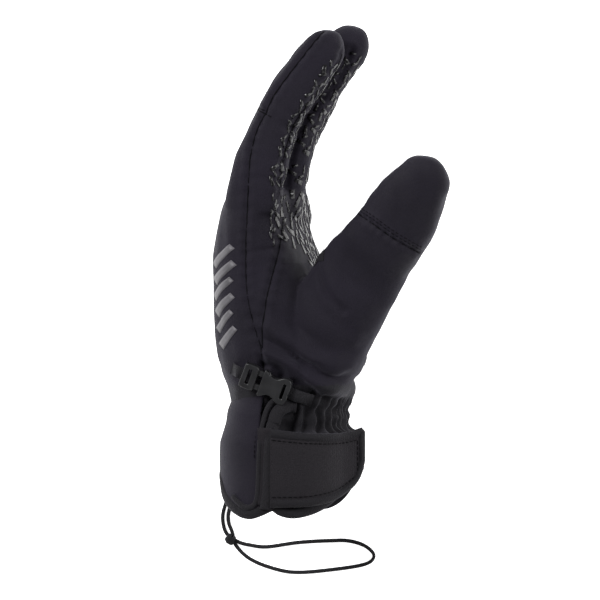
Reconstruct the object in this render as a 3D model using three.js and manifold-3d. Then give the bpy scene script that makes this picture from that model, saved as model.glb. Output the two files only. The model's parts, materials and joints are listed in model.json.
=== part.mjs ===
// A ski glove for the left hand, lying on its little-finger side with the thumb side up.
// Millimetres. The fingers point along +Y, the palm faces +X, the back of the hand faces -X
// and the index finger and thumb are uppermost, along +Z. The origin is on the flat underside
// of the cuff, which rests on the surface.
import * as THREE from "three";
import { mergeVertices } from "three/addons/utils/BufferGeometryUtils.js";
import Module from "manifold-3d";

const wasm = await Module();
wasm.setup();

// ---------------------------------------------------------------- driving dimensions
const SIDES = 16; // facets around a finger, the hand or the cuff
const ROUND = 2.4; // 2 is an ellipse, and higher is squarer
const FLATTENED = 5.5; // the same, where the glove's own weight presses it flat
const SHELL = 1.6; // outer softshell fabric with its membrane
const GAP = 0.4; // between two pieces that touch
const LINER = 3.4; // insulation and fleece lining
const LINER_OUT = SHELL + GAP;
const LINER_IN = LINER_OUT + LINER;
const FAR = 400; // longer than anything that is cut
const HEIGHT = 106; // of the glove as it lies: the breadth of the four fingers
const MID = HEIGHT / 2;

const CROTCH = { x: -15.5, y: 163 }; // middle of the index root, at the finger crotch
const CROTCH_HEADING = 13; // degrees from +Y towards the palm
const FINGER_RADIUS = 161; // of the curve that a relaxed finger follows
const MIDDLE_KNUCKLE = 37; // from a finger's root to its middle joint
const FLEX_ROOT = { back: 8, palm: 30 }; // degrees
const FLEX_MIDDLE = { back: 5, palm: 40 };
const SLACK = 2; // degrees left open at a joint's limit

const FINGERS = [
  { name: "index", low: 81, high: 106.5, shift: 0, rise: 0, length: 91, half: 14.6, tip: 12.4 },
  { name: "middle", low: 54, high: 79.5, shift: 8, rise: 2, length: 94, half: 14.8, tip: 12.6 },
  { name: "ring", low: 27.5, high: 52.5, shift: 4, rise: 0, length: 87, half: 14.4, tip: 12.2 },
  { name: "little", low: 0, high: 26, shift: -1, rise: -8, length: 71, half: 13.4, tip: 11.4 },
];

const THUMB_HEADING = 37.5; // degrees from +Y towards the palm
const THUMB_ROOT = { x: 43.6, y: 113.1, z: 89 };
const THUMB_BASE_LENGTH = 26; // from the thumb's root joint to its middle joint
const THUMB_TIP_LENGTH = 41; // from the middle joint to the centre of the rounded tip
const THUMB_RISE = 0.54; // how far it climbs for each millimetre of its length
const FLEX_THUMB_ROOT = { in: 15, out: 12 }; // towards the fingers and away from them
const FLEX_THUMB_TIP = { in: 35, out: 4 };

const WRIST_Y = 27; // the wrist's bending line
const FLEX_WRIST = { back: 15, palm: 18 };
const CUFF_X = -4; // middle of the cuff
const CUFF_HALF = 38; // half its depth from back to palm
const BINDING = 5; // width of the bound hem and edge
const EDGE_X = -12; // the bound edge where the strap is sewn down

const STRAP_THICK = 2;
const STRAP_SINK = 1.6; // room for the hook and loop under the strap
const CORD = 2.5; // thickness of the leash

// ---------------------------------------------------------------- finishes
const finish = (color, roughness, metalness = 0) =>
  new THREE.MeshStandardMaterial({ color, roughness, metalness });
const SOFTSHELL = finish(0x1c1c20, 0.85);
const PALM_FABRIC = finish(0x18181b, 0.8);
const FLEECE = finish(0x202024, 0.95);
const STRETCH = finish(0x17171a, 0.9);
const NEOPRENE = finish(0x232326, 0.85);
const TRIM = finish(0x1f1f22, 0.8);
const HOOK = finish(0x121214, 0.9);
const WEBBING = finish(0x151517, 0.85);
const PLASTIC = finish(0x0f0f11, 0.45);
const ELASTIC = finish(0x131315, 0.8);

// ---------------------------------------------------------------- solids
const glove = new THREE.Group();

function asManifold(geometry) {
  const bare = geometry.clone();
  bare.deleteAttribute("normal");
  bare.deleteAttribute("uv");
  const merged = mergeVertices(bare, 1e-4);
  return new wasm.Manifold(new wasm.Mesh({
    numProp: 3,
    vertProperties: new Float32Array(merged.attributes.position.array),
    triVerts: new Uint32Array(merged.index.array),
  }));
}

/** Adds one named piece, dropping any crumb that a cut left. */
function piece(name, solid, material) {
  const bodies = solid.decompose();
  bodies.sort((a, b) => b.volume() - a.volume());
  const mesh = bodies[0].simplify(0.02).getMesh();
  const geometry = new THREE.BufferGeometry();
  geometry.setAttribute("position", new THREE.BufferAttribute(mesh.vertProperties.slice(), 3));
  geometry.setIndex(new THREE.BufferAttribute(mesh.triVerts.slice(), 1));
  geometry.computeVertexNormals();
  const item = new THREE.Mesh(geometry, material);
  item.name = name;
  glove.add(item);
  return item;
}

/** A closed solid through rings of points, all with as many points, going anticlockwise
 *  as seen from the last ring. */
function skin(rings) {
  const count = rings[0].length;
  const points = rings.flat();
  const faces = [];
  for (let r = 0; r + 1 < rings.length; r++) {
    for (let k = 0; k < count; k++) {
      const a = r * count + k;
      const b = r * count + ((k + 1) % count);
      faces.push(a, b, b + count, a, b + count, a + count);
    }
  }
  const last = (rings.length - 1) * count;
  for (let k = 1; k + 1 < count; k++) {
    faces.push(0, k + 1, k);
    faces.push(last, last + k, last + k + 1);
  }
  const geometry = new THREE.BufferGeometry();
  geometry.setAttribute("position", new THREE.Float32BufferAttribute(points.flat(), 3));
  geometry.setIndex(faces);
  return asManifold(geometry);
}

const radians = (degrees) => THREE.MathUtils.degToRad(degrees);
const forward = (heading) => [Math.sin(radians(heading)), Math.cos(radians(heading))];
const across = (heading) => [Math.cos(radians(heading)), -Math.sin(radians(heading))];
const power = (value, exponent) => Math.sign(value) * Math.abs(value) ** exponent;

/** One rounded section of a sleeve. It stands upright across the heading, with a flat
 *  facet at its lowest and its highest. The lower half can be squarer than the upper. */
function ring({ x, y, heading = 0, half, low, high, round = ROUND, base = round }, inset) {
  const middle = (low + high) / 2;
  const wide = half - inset;
  const tall = (high - low) / 2 - inset;
  const [ux, uy] = across(heading);
  const points = [];
  for (let k = 0; k < SIDES; k++) {
    const turn = ((k + 0.5) * 2 * Math.PI) / SIDES;
    const shape = 2 / (turn < Math.PI ? round : base);
    const u = wide * power(Math.cos(turn), shape);
    const w = tall * power(Math.sin(turn) / Math.cos(Math.PI / SIDES), shape);
    points.push([x + u * ux, y + u * uy, middle + w]);
  }
  return points.reverse();
}

const sleeve = (stations, inset = 0) => skin(stations.map((station) => ring(station, inset)));

/** An outline in the XY plane, as an upright prism between two heights. */
function prism(outline, low = -FAR, high = FAR) {
  const shape = new THREE.Shape(outline.map(([x, y]) => new THREE.Vector2(x, y)));
  const geometry = new THREE.ExtrudeGeometry(shape, { depth: high - low, bevelEnabled: false });
  return asManifold(geometry.translate(0, 0, low));
}

/** Everything on the near side of an upright plane across a heading. */
function behind({ x, y }, heading, low = -FAR, high = FAR) {
  const [fx, fy] = forward(heading);
  const [ux, uy] = across(heading);
  const x0 = x - (fx * GAP) / 2;
  const y0 = y - (fy * GAP) / 2;
  return prism([
    [x0 - ux * FAR, y0 - uy * FAR],
    [x0 - (ux + fx) * FAR, y0 - (uy + fy) * FAR],
    [x0 + (ux - fx) * FAR, y0 + (uy - fy) * FAR],
    [x0 + ux * FAR, y0 + uy * FAR],
  ], low, high);
}

/** Everything past a joint, cut back on both sides so that it can turn by so many degrees
 *  to the right (palm side) and to the left (back). */
function beyond({ x, y }, heading, right, left) {
  const [fx, fy] = forward(heading);
  const [ux, uy] = across(heading);
  const x0 = x + (fx * GAP) / 2;
  const y0 = y + (fy * GAP) / 2;
  const reach = (side, angle) => {
    const c = Math.cos(radians(angle)) * FAR * side;
    const s = Math.sin(radians(angle)) * FAR;
    return [x0 + ux * c + fx * s, y0 + uy * c + fy * s];
  };
  const palm = reach(1, right + SLACK);
  const back = reach(-1, left + SLACK);
  return prism([
    [x0, y0],
    palm,
    [palm[0] + fx * FAR, palm[1] + fy * FAR],
    [back[0] + fx * FAR, back[1] + fy * FAR],
    back,
  ]);
}

const between = (outer, inner) => outer.subtract(inner);
const aboveFloor = () => prism([[-FAR, -FAR], [FAR, -FAR], [FAR, FAR], [-FAR, FAR]], 0);
const joined = (solids) => solids.reduce((whole, solid) => whole.add(solid));

// ---------------------------------------------------------------- fingers
/** Where a finger's middle line is, at a distance from its root. */
function onFinger(finger, distance) {
  const [ux, uy] = across(CROTCH_HEADING);
  const [fx, fy] = forward(CROTCH_HEADING);
  const turn = THREE.MathUtils.radToDeg(distance / FINGER_RADIUS);
  const heading = CROTCH_HEADING + turn;
  const start = across(CROTCH_HEADING);
  const end = across(heading);
  return {
    x: CROTCH.x + ux * finger.shift + fx * finger.rise + FINGER_RADIUS * (start[0] - end[0]),
    y: CROTCH.y + uy * finger.shift + fy * finger.rise + FINGER_RADIUS * (start[1] - end[1]),
    heading,
  };
}

function fingerSleeve(finger, inset) {
  const stations = [];
  const wide = (finger.high - finger.low) / 2;
  const middle = (finger.high + finger.low) / 2;
  const add = (distance, half, tall) => {
    stations.push({
      ...onFinger(finger, distance), half, low: middle - tall, high: middle + tall,
    });
  };
  const steps = 6;
  for (let k = 0; k <= steps; k++) {
    const share = k / steps;
    const half = THREE.MathUtils.lerp(finger.half, finger.tip, share ** 0.8);
    add(-4 + (finger.length + 4) * share, half, wide - 1.2 * share ** 2);
  }
  for (const turn of [35, 62, 80]) {
    const c = Math.cos(radians(turn));
    const half = (finger.tip - inset) * c + inset;
    add(finger.length + (finger.tip - inset) * Math.sin(radians(turn)), half,
      (wide - 1.2 - inset) * c + inset);
  }
  return sleeve(stations, inset);
}

function addFinger(finger) {
  const root = onFinger(finger, 0);
  const knuckle = onFinger(finger, MIDDLE_KNUCKLE);
  const base = beyond(root, root.heading, FLEX_ROOT.palm, FLEX_ROOT.back)
    .intersect(behind(knuckle, knuckle.heading));
  const tip = beyond(knuckle, knuckle.heading, FLEX_MIDDLE.palm, FLEX_MIDDLE.back);
  const shell = between(fingerSleeve(finger, 0), fingerSleeve(finger, SHELL));
  const liner = between(fingerSleeve(finger, LINER_OUT), fingerSleeve(finger, LINER_IN));
  piece(`${finger.name}_base_shell`, shell.intersect(base), SOFTSHELL);
  piece(`${finger.name}_base_liner`, liner.intersect(base), FLEECE);
  piece(`${finger.name}_tip_shell`, shell.intersect(tip), SOFTSHELL);
  piece(`${finger.name}_tip_liner`, liner.intersect(tip), FLEECE);
}

// ---------------------------------------------------------------- thumb
/** Where the thumb's middle line is, at a distance past its root joint. */
function onThumb(distance) {
  const [fx, fy] = forward(THUMB_HEADING);
  return {
    x: THUMB_ROOT.x + fx * distance,
    y: THUMB_ROOT.y + fy * distance,
    z: THUMB_ROOT.z + THUMB_RISE * distance,
    heading: THUMB_HEADING,
  };
}

function thumbStation(distance, half, tall) {
  const place = onThumb(distance);
  return { ...place, half, low: place.z - tall, high: place.z + tall };
}

function thumbSleeve(inset) {
  const tipHalf = 14.2;
  const tipTall = 13;
  const length = THUMB_BASE_LENGTH + THUMB_TIP_LENGTH;
  const stations = [
    thumbStation(-4, 24.5, 17),
    thumbStation(THUMB_BASE_LENGTH / 2, 22.8, 16.4),
    thumbStation(THUMB_BASE_LENGTH, 21.2, 15.8),
    thumbStation(THUMB_BASE_LENGTH + THUMB_TIP_LENGTH * 0.45, 19.4, 15),
    thumbStation(THUMB_BASE_LENGTH + THUMB_TIP_LENGTH * 0.8, 16.8, 13.8),
    thumbStation(length, tipHalf, tipTall),
  ];
  for (const turn of [35, 62, 80]) {
    const c = Math.cos(radians(turn));
    stations.push(thumbStation(length + (tipHalf - inset) * Math.sin(radians(turn)),
      (tipHalf - inset) * c + inset, (tipTall - inset) * c + inset));
  }
  return sleeve(stations, inset);
}

function addThumb() {
  const root = onThumb(0);
  const knuckle = onThumb(THUMB_BASE_LENGTH);
  const base = beyond(root, THUMB_HEADING, FLEX_THUMB_ROOT.out, FLEX_THUMB_ROOT.in)
    .intersect(behind(knuckle, THUMB_HEADING));
  const tip = beyond(knuckle, THUMB_HEADING, FLEX_THUMB_TIP.out, FLEX_THUMB_TIP.in);
  const shell = between(thumbSleeve(0), thumbSleeve(SHELL));
  const liner = between(thumbSleeve(LINER_OUT), thumbSleeve(LINER_IN));
  piece("thumb_base_shell", shell.intersect(base), SOFTSHELL);
  piece("thumb_base_liner", liner.intersect(base), FLEECE);
  piece("thumb_cap_shell", shell.intersect(tip), PALM_FABRIC);
  piece("thumb_tip_liner", liner.intersect(tip), FLEECE);
}

// ---------------------------------------------------------------- hand
/** The hand from the wrist to the finger crotch, without the ball of the thumb. */
const HAND = [
  { x: -3.5, y: WRIST_Y - 6, half: 34, low: 8, high: 98, base: FLATTENED },
  { x: -4, y: 45, half: 34, low: 7, high: 99, base: FLATTENED },
  { x: -9, y: 70, half: 32, low: 3, high: 103, base: FLATTENED },
  { x: -12.5, y: 95, half: 30.5, low: 0, high: HEIGHT, heading: 3, base: FLATTENED },
  { x: -14.5, y: 120, half: 28, low: 0, high: HEIGHT, heading: 6, base: FLATTENED },
  { x: -16, y: 145, half: 23, low: 0, high: HEIGHT, heading: 10, base: FLATTENED },
  { x: -9, y: 176, half: 20.5, low: 0, high: HEIGHT, heading: CROTCH_HEADING, base: FLATTENED },
];

/** The ball of the thumb, from inside the wrist to so far past the thumb's root joint. */
const ballOfThumb = (inset, end) => sleeve([
  { x: 6, y: 42, half: 22, low: 40, high: 92, heading: 12 },
  { x: 17, y: 66, half: 25, low: 50, high: 98, heading: 22 },
  { x: 29, y: 90, half: 25.5, low: 61, high: 103, heading: 32 },
  thumbStation(end, 24.8, 17.2),
], inset);

const handSolid = (inset, end) => sleeve(HAND, inset).add(ballOfThumb(inset, end));

/** One layer of the hand, open at the thumb. */
const handLayer = (outer, inner) => between(handSolid(outer, -GAP / 2), handSolid(inner, 1));

/** Keeps what lies below the finger roots and past the wrist's bending line. */
function handLimits() {
  const steps = FINGERS.map((finger, k) => {
    const low = k + 1 < FINGERS.length ? (finger.low + FINGERS[k + 1].high) / 2 : -FAR;
    const high = k > 0 ? (finger.high + FINGERS[k - 1].low) / 2 : FAR;
    const root = onFinger(finger, 0);
    return behind(root, root.heading, low, high);
  });
  const wrist = beyond({ x: CUFF_X, y: WRIST_Y }, 0, FLEX_WRIST.palm, FLEX_WRIST.back);
  return joined(steps).intersect(wrist);
}

/** The seam between the back panel and the side panel, from the fingers to the wrist. */
const BACK_SEAM = [[-17, 200], [-19.5, 160], [-20, 130], [-19.5, 105], [-17, 85], [-12.8, 70]];
/** The seam between the side panel and the palm. */
const PALM_SEAM = [[2, 200], [-4, 163], [-4.7, 128], [-6.4, 112], [-9.4, 97], [-12.2, 73]];
/** The crease round the root of the thumb. */
const THUMB_SEAM = [[26, 132], [17, 121], [21, 108], [27, 99], [34, 92], [80, 70]];
/** A small reinforcement sewn over the crotch of the thumb. */
const CROTCH_PATCH = [[10, 120], [20, 118], [22, 126], [11, 129]];
const WRIST_PANEL_Y = 45; // top of the gathered wrist

const shifted = (line, dx, dy = 0) => line.map(([x, y]) => [x + dx, y + dy]);

function addHand() {
  const limits = handLimits();
  const shell = handLayer(0, SHELL).intersect(limits);
  const liner = handLayer(LINER_OUT, LINER_IN).intersect(limits);
  const half = GAP / 2;
  const wristEdge = [[EDGE_X, -FAR]];
  const backArea = prism([
    ...shifted([...BACK_SEAM, ...wristEdge], -half), [-FAR, -FAR], [-FAR, 200],
  ]);
  const sideArea = prism([
    ...shifted(BACK_SEAM, half), ...shifted(PALM_SEAM, -half).reverse(),
  ]);
  const thumbArea = prism([...shifted(THUMB_SEAM, half, half), [FAR, 70], [FAR, 200], [26, 200]]);
  const palmLimit = prism([
    ...shifted([...PALM_SEAM, [EDGE_X, 60], [EDGE_X, WRIST_PANEL_Y + half]], half),
    [FAR, WRIST_PANEL_Y + half], [FAR, 200],
  ]);
  const thumbSide = prism([...shifted(THUMB_SEAM, -half, -half), [FAR, 60], [FAR, 200], [25, 200]]);
  const wristArea = prism([
    [EDGE_X + half, -FAR], [FAR, -FAR], [FAR, WRIST_PANEL_Y - half],
    [EDGE_X + half, WRIST_PANEL_Y - half],
  ]);
  const upper = prism([[-FAR, -FAR], [FAR, -FAR], [FAR, FAR], [-FAR, FAR]], MID, FAR);
  const lower = prism([[-FAR, -FAR], [FAR, -FAR], [FAR, FAR], [-FAR, FAR]], -FAR, MID);
  piece("back_panel", shell.intersect(backArea), SOFTSHELL);
  piece("index_side_panel", shell.intersect(sideArea).intersect(upper), SOFTSHELL);
  piece("little_side_panel", shell.intersect(sideArea).intersect(lower), SOFTSHELL);
  piece("palm_panel", shell.intersect(palmLimit).subtract(thumbSide), PALM_FABRIC);
  piece("thumb_gusset", shell.intersect(thumbArea), SOFTSHELL);
  piece("gathered_wrist", shell.intersect(wristArea), STRETCH);
  piece("hand_liner", liner, FLEECE);
  const patch = between(handSolid(-GAP - 1, -1), handSolid(-GAP, 0));
  piece("thumb_crotch_patch", patch.intersect(prism(CROTCH_PATCH, 80)), TRIM);
}

// ---------------------------------------------------------------- cuff
const CUFF = [
  { x: CUFF_X, y: -34, half: CUFF_HALF, low: 0, high: HEIGHT - 1, base: FLATTENED },
  { x: CUFF_X, y: 18, half: CUFF_HALF, low: 0, high: HEIGHT - 1, base: FLATTENED },
  { x: CUFF_X, y: WRIST_Y - GAP / 2, half: CUFF_HALF - 2.5, low: 3, high: HEIGHT - 5, base: FLATTENED },
];
const cuffSolid = (inset) => sleeve(CUFF, inset);

/** The free edge of the cuff: a rounded lobe over the back of the hand, and a second one on
 *  the palm side. */
const HEM = [[-60, 0], [-44, -2], [-36, -11], [-28, -20], [-20, -25], [-12, -25.5],
  [-6, -22], [0, -24], [8, -25.5], [20, -22], [34, -16.5], [60, -12]];

const hemArea = (rise) => prism([...shifted(HEM, 0, rise), [FAR, FAR], [-FAR, FAR]]);

function addCuff() {
  const half = GAP / 2;
  const shell = between(cuffSolid(0), sleeve(widened(CUFF, 2), SHELL));
  const trim = between(cuffSolid(-0.6), sleeve(widened(CUFF, 2), LINER_OUT + 1));
  const liner = between(cuffSolid(LINER_OUT), sleeve(widened(CUFF, 2), LINER_IN));
  const panels = shell.intersect(hemArea(BINDING + half));
  const backArea = prism([
    [EDGE_X - BINDING - half, -FAR], [EDGE_X - BINDING - half, FAR], [-FAR, FAR], [-FAR, -FAR],
  ]);
  const palmArea = prism([
    [EDGE_X + half, FAR], [EDGE_X + half, -FAR], [FAR, -FAR], [FAR, FAR],
  ]);
  const edgeBand = prism([
    [EDGE_X - BINDING + half, FAR], [EDGE_X - BINDING + half, -FAR], [EDGE_X - half, -FAR],
    [EDGE_X - half, FAR],
  ], MID, FAR);
  const floorBand = prism([
    [EDGE_X - BINDING + half, FAR], [EDGE_X - BINDING + half, -FAR], [EDGE_X - half, -FAR],
    [EDGE_X - half, FAR],
  ], -FAR, MID);
  const hem = trim.intersect(hemArea(0)).subtract(hemArea(BINDING - half)).intersect(aboveFloor());
  const edge = between(cuffSolid(-0.6), sleeve(widened(CUFF, 2), SHELL))
    .intersect(hemArea(BINDING + half)).intersect(edgeBand);
  piece("cuff_back_panel", panels.intersect(backArea), SOFTSHELL);
  piece("cuff_palm_panel", panels.intersect(palmArea), STRETCH);
  piece("cuff_floor_strip", panels.intersect(floorBand), SOFTSHELL);
  piece("cuff_edge_binding", edge, TRIM);
  piece("hem_binding", hem, TRIM);
  piece("cuff_liner", liner.intersect(hemArea(BINDING + half)), FLEECE);
}

/** The same sleeve, carried further past both ends. */
function widened(stations, extra) {
  const last = stations.length - 1;
  return stations.map((station, k) => {
    const push = k === 0 ? -extra : k === last ? extra : 0;
    return { ...station, y: station.y + push };
  });
}

// ---------------------------------------------------------------- strap
const STRAP_START = 98.5; // degrees round the cuff, from the palm side up over the top
const STRAP_END = 10;
const STRAP_STEPS = 14;

/** A point on the cuff's section, raised off its surface. */
function overCuff(degrees, raise) {
  const t = radians(degrees);
  const wide = CUFF_HALF + raise;
  const tall = (HEIGHT - 1) / 2 + raise;
  return {
    x: CUFF_X + wide * power(Math.cos(t), 2 / 2.4),
    z: (HEIGHT - 1) / 2 + tall * power(Math.sin(t), 2 / 2.4),
  };
}

/** Lower and upper edge of the strap, at a share of its length. */
function strapEdges(share, inset) {
  const corner = 0.12;
  const rounding = share > 1 - corner ? ((share - 1 + corner) / corner) ** 2 : 0;
  const low = THREE.MathUtils.lerp(-20, -4, Math.max(share, 0) ** 1.2) + 6 * rounding + inset;
  const high = 22 + 2.2 * share ** 3 - 1.5 * rounding - inset;
  return [low, high];
}

/** A curved plate over the cuff. It lifts off a little towards its free end. */
function strapPlate(first, last, under, over, inset) {
  const rings = [];
  for (let k = 0; k <= STRAP_STEPS; k++) {
    const share = THREE.MathUtils.lerp(first, last, k / STRAP_STEPS);
    const degrees = THREE.MathUtils.lerp(STRAP_START, STRAP_END, share);
    const [low, high] = strapEdges(share, inset);
    const lift = 3 * Math.max(0, (share - 0.86) / 0.14) ** 2;
    const inner = overCuff(degrees, under + lift);
    const outer = overCuff(degrees, over + lift);
    rings.push([
      [inner.x, low, inner.z],
      [inner.x, high, inner.z],
      [outer.x, high, outer.z],
      [outer.x, low, outer.z],
    ]);
  }
  return skin(rings);
}

function addStrap() {
  const trim = 3;
  const top = STRAP_SINK + STRAP_THICK;
  const outline = strapPlate(0, 1, STRAP_SINK - 0.2, top + 0.4, 0);
  const middle = strapPlate(-0.05, 0.965, STRAP_SINK - 3, top + 3, trim);
  piece("strap_binding", outline.subtract(middle), TRIM);
  piece("strap_panel", strapPlate(0, 0.95, STRAP_SINK, top, trim + GAP), NEOPRENE);
  piece("strap_hook_patch", strapPlate(0.6, 0.85, 0.95, STRAP_SINK - 0.25, trim + 2), HOOK);
  piece("cuff_loop_patch", strapPlate(0.5, 0.85, 0.3, 0.7, trim + 1), HOOK);
}

// ---------------------------------------------------------------- wrist buckle
const BUCKLE = { x: -8, y: 50, z: 100.6, turn: -22, tilt: 9 };
const BUCKLE_WIDE = 15;
const BUCKLE_TALL = 5.5;

const box = (x, y, z, wide, deep, tall) =>
  asManifold(new THREE.BoxGeometry(wide, deep, tall).translate(x, y, z + tall / 2));

/** An upright plate with rounded corners. */
function plate(x0, x1, wide, z0, z1, radius) {
  const shape = new THREE.Shape();
  const y0 = -wide / 2;
  const y1 = wide / 2;
  shape.moveTo(x0 + radius, y0);
  shape.lineTo(x1 - radius, y0);
  shape.absarc(x1 - radius, y0 + radius, radius, -Math.PI / 2, 0);
  shape.absarc(x1 - radius, y1 - radius, radius, 0, Math.PI / 2);
  shape.absarc(x0 + radius, y1 - radius, radius, Math.PI / 2, Math.PI);
  shape.absarc(x0 + radius, y0 + radius, radius, Math.PI, 1.5 * Math.PI);
  const geometry = new THREE.ExtrudeGeometry(shape, {
    depth: z1 - z0, bevelEnabled: false, curveSegments: 4,
  });
  return asManifold(geometry.translate(0, 0, z0));
}

function placed(item) {
  item.rotation.set(radians(BUCKLE.tilt), 0, radians(BUCKLE.turn));
  item.position.set(BUCKLE.x, BUCKLE.y, BUCKLE.z);
}

function addBuckle() {
  const female = plate(-4, 14, BUCKLE_WIDE, 0, BUCKLE_TALL, 2.5)
    .subtract(box(-1, 0, 1, 16, BUCKLE_WIDE - 3, BUCKLE_TALL - 2))
    .subtract(box(10.5, 0, -1, 3, BUCKLE_WIDE - 4.5, BUCKLE_TALL + 2));
  const body = plate(-15, -4.6, BUCKLE_WIDE, 0, BUCKLE_TALL, 2.5)
    .subtract(box(-11.5, 0, -1, 3, BUCKLE_WIDE - 4.5, BUCKLE_TALL + 2));
  const prong = (y) => box(0, y, 1.4, 11, 2.6, BUCKLE_TALL - 2.8);
  const male = joined([body, prong(-4), prong(4)]);
  placed(piece("buckle_female", female, PLASTIC));
  placed(piece("buckle_male", male, PLASTIC));
  const band = BUCKLE_WIDE - 5.4;
  placed(piece("webbing_male_side", box(-19, 0, 0.8, 7.2, band, 1.4), WEBBING));
  placed(piece("webbing_female_side", box(20.6, 0, 0.8, 12.4, band, 1.4), WEBBING));
}

// ---------------------------------------------------------------- leash
/** A round cord through points on the surface that the glove lies on. */
function cord(name, points, steps) {
  const curve = new THREE.CatmullRomCurve3(points.map((p) => new THREE.Vector3(...p)));
  const shape = new THREE.Shape();
  for (let k = 0; k < 8; k++) {
    const turn = ((k + 0.5) * Math.PI) / 4;
    const [x, y] = [(Math.cos(turn) * CORD) / 2, (Math.sin(turn) * CORD) / 2];
    if (k === 0) {
      shape.moveTo(x, y);
    } else {
      shape.lineTo(x, y);
    }
  }
  const geometry = new THREE.ExtrudeGeometry(shape, { steps, extrudePath: curve });
  piece(name, asManifold(geometry), ELASTIC);
}

const LAY = CORD / 2 + 0.1; // height of the cord's middle as it lies
const STRAND_OUT = [[-38.4, -18.4, 3.2], [-45, -17.8, LAY], [-51.4, -20.4, LAY],
  [-54.6, -28, LAY], [-54.8, -35, LAY], [-52.4, -41.4, LAY]];
const STRAND_BACK = [[-38.4, -21.6, 3.2], [-44.4, -21, LAY], [-49, -22.8, LAY],
  [-51.4, -28.6, LAY], [-51.4, -34.6, LAY], [-49.3, -40.3, LAY]];
const KNOT = [-49.6, -44.2, 3.6];
const KNOT_RADIUS = 3.4;
const LOOP = [[-46, -45.8, LAY], [-38, -47.8, LAY], [-28, -48.6, LAY], [-9, -45.8, LAY],
  [11, -44.5, LAY], [21, -44.6, LAY], [30, -47.2, LAY], [35.6, -52.2, LAY],
  [33.4, -56.8, LAY], [24, -59.6, LAY], [4, -62.4, LAY], [-9, -63.4, LAY],
  [-19, -62.6, LAY], [-32, -58.9, LAY], [-41, -54.2, LAY], [-47.2, -47.6, LAY]];

function addLeash() {
  const tab = box(-31, -20, 0.6, 13.6, 8, 5.2).subtract(cuffSolid(-0.6 - GAP));
  piece("leash_tab", tab, WEBBING);
  cord("leash_strand_out", STRAND_OUT, 8);
  cord("leash_strand_back", STRAND_BACK, 8);
  cord("leash_loop", LOOP, 30);
  const knot = piece("leash_knot", asManifold(new THREE.SphereGeometry(KNOT_RADIUS, 10, 6)), ELASTIC);
  knot.position.set(...KNOT);
}

FINGERS.forEach(addFinger);
addThumb();
addHand();
addCuff();
addStrap();
addBuckle();
addLeash();

export default glove;
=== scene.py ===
import json
import math

import bpy
import numpy as np
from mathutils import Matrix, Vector, noise
from mathutils.bvhtree import BVHTree


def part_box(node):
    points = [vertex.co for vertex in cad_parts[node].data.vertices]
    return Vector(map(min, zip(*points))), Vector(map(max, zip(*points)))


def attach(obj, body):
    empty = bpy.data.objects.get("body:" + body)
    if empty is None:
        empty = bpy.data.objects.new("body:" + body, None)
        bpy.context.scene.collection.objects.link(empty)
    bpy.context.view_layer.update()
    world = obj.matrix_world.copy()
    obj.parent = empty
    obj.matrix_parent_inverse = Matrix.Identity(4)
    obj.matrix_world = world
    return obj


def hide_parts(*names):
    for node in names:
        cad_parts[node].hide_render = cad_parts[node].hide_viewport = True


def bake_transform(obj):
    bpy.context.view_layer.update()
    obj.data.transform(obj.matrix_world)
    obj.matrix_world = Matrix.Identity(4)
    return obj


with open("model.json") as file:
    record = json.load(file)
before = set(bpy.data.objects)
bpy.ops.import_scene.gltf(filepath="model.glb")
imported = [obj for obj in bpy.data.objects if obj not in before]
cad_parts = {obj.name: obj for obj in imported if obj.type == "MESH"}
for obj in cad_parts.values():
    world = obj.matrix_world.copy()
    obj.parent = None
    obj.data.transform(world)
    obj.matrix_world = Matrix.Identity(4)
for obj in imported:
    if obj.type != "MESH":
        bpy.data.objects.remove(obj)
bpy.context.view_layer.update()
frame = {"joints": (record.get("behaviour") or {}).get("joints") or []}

# A black softshell ski glove for the left hand, lying on its little-finger side with the
# thumb side up. Everything below is in millimetres until a mesh is made.
MM = 0.001
JOINTS = {joint["name"]: joint for joint in frame["joints"]}
FINGERS = ("index", "middle", "ring", "little")


def joint_at(name):
    """A hinge's place, in millimetres."""
    return np.array(JOINTS[name]["pos_m"]) / MM


def node_box(name):
    low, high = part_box(name)
    return np.array(low) / MM, np.array(high) / MM


# ------------------------------------------------------------------ camera and room
VIEW_TILT = math.radians(11)  # the camera leans towards the palm side
VIEW_CENTRE = Vector((4.9, 97.0, 70.0)) * MM
VIEW_DISTANCE = 2.2
VIEW_WIDTH = 0.3426  # how much the picture shows across, at the glove's middle
SENSOR = 36
WORLD_LIGHT = 0.24
FLOOR_SIDE = 6.0  # half its length
FLOOR_WHITE = 0.97
FLOOR_GLOW = 0.95  # the photograph's background is blown out to white


def make_camera():
    data = bpy.data.cameras.new("camera")
    data.sensor_width = SENSOR
    data.lens = SENSOR * VIEW_DISTANCE / VIEW_WIDTH
    data.clip_end = 20
    camera = bpy.data.objects.new("camera", data)
    bpy.context.scene.collection.objects.link(camera)
    back = Vector((math.sin(VIEW_TILT), 0, math.cos(VIEW_TILT)))
    camera.location = VIEW_CENTRE + back * VIEW_DISTANCE
    camera.rotation_euler = (0, VIEW_TILT, 0)
    bpy.context.scene.camera = camera


def area_light(name, place, aim, size, power):
    data = bpy.data.lights.new(name, "AREA")
    data.shape = "RECTANGLE"
    data.size, data.size_y = size
    data.energy = power
    light = bpy.data.objects.new(name, data)
    light.location = place
    light.rotation_euler = (Vector(aim) - Vector(place)).to_track_quat("-Z", "Y").to_euler()
    bpy.context.scene.collection.objects.link(light)


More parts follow.
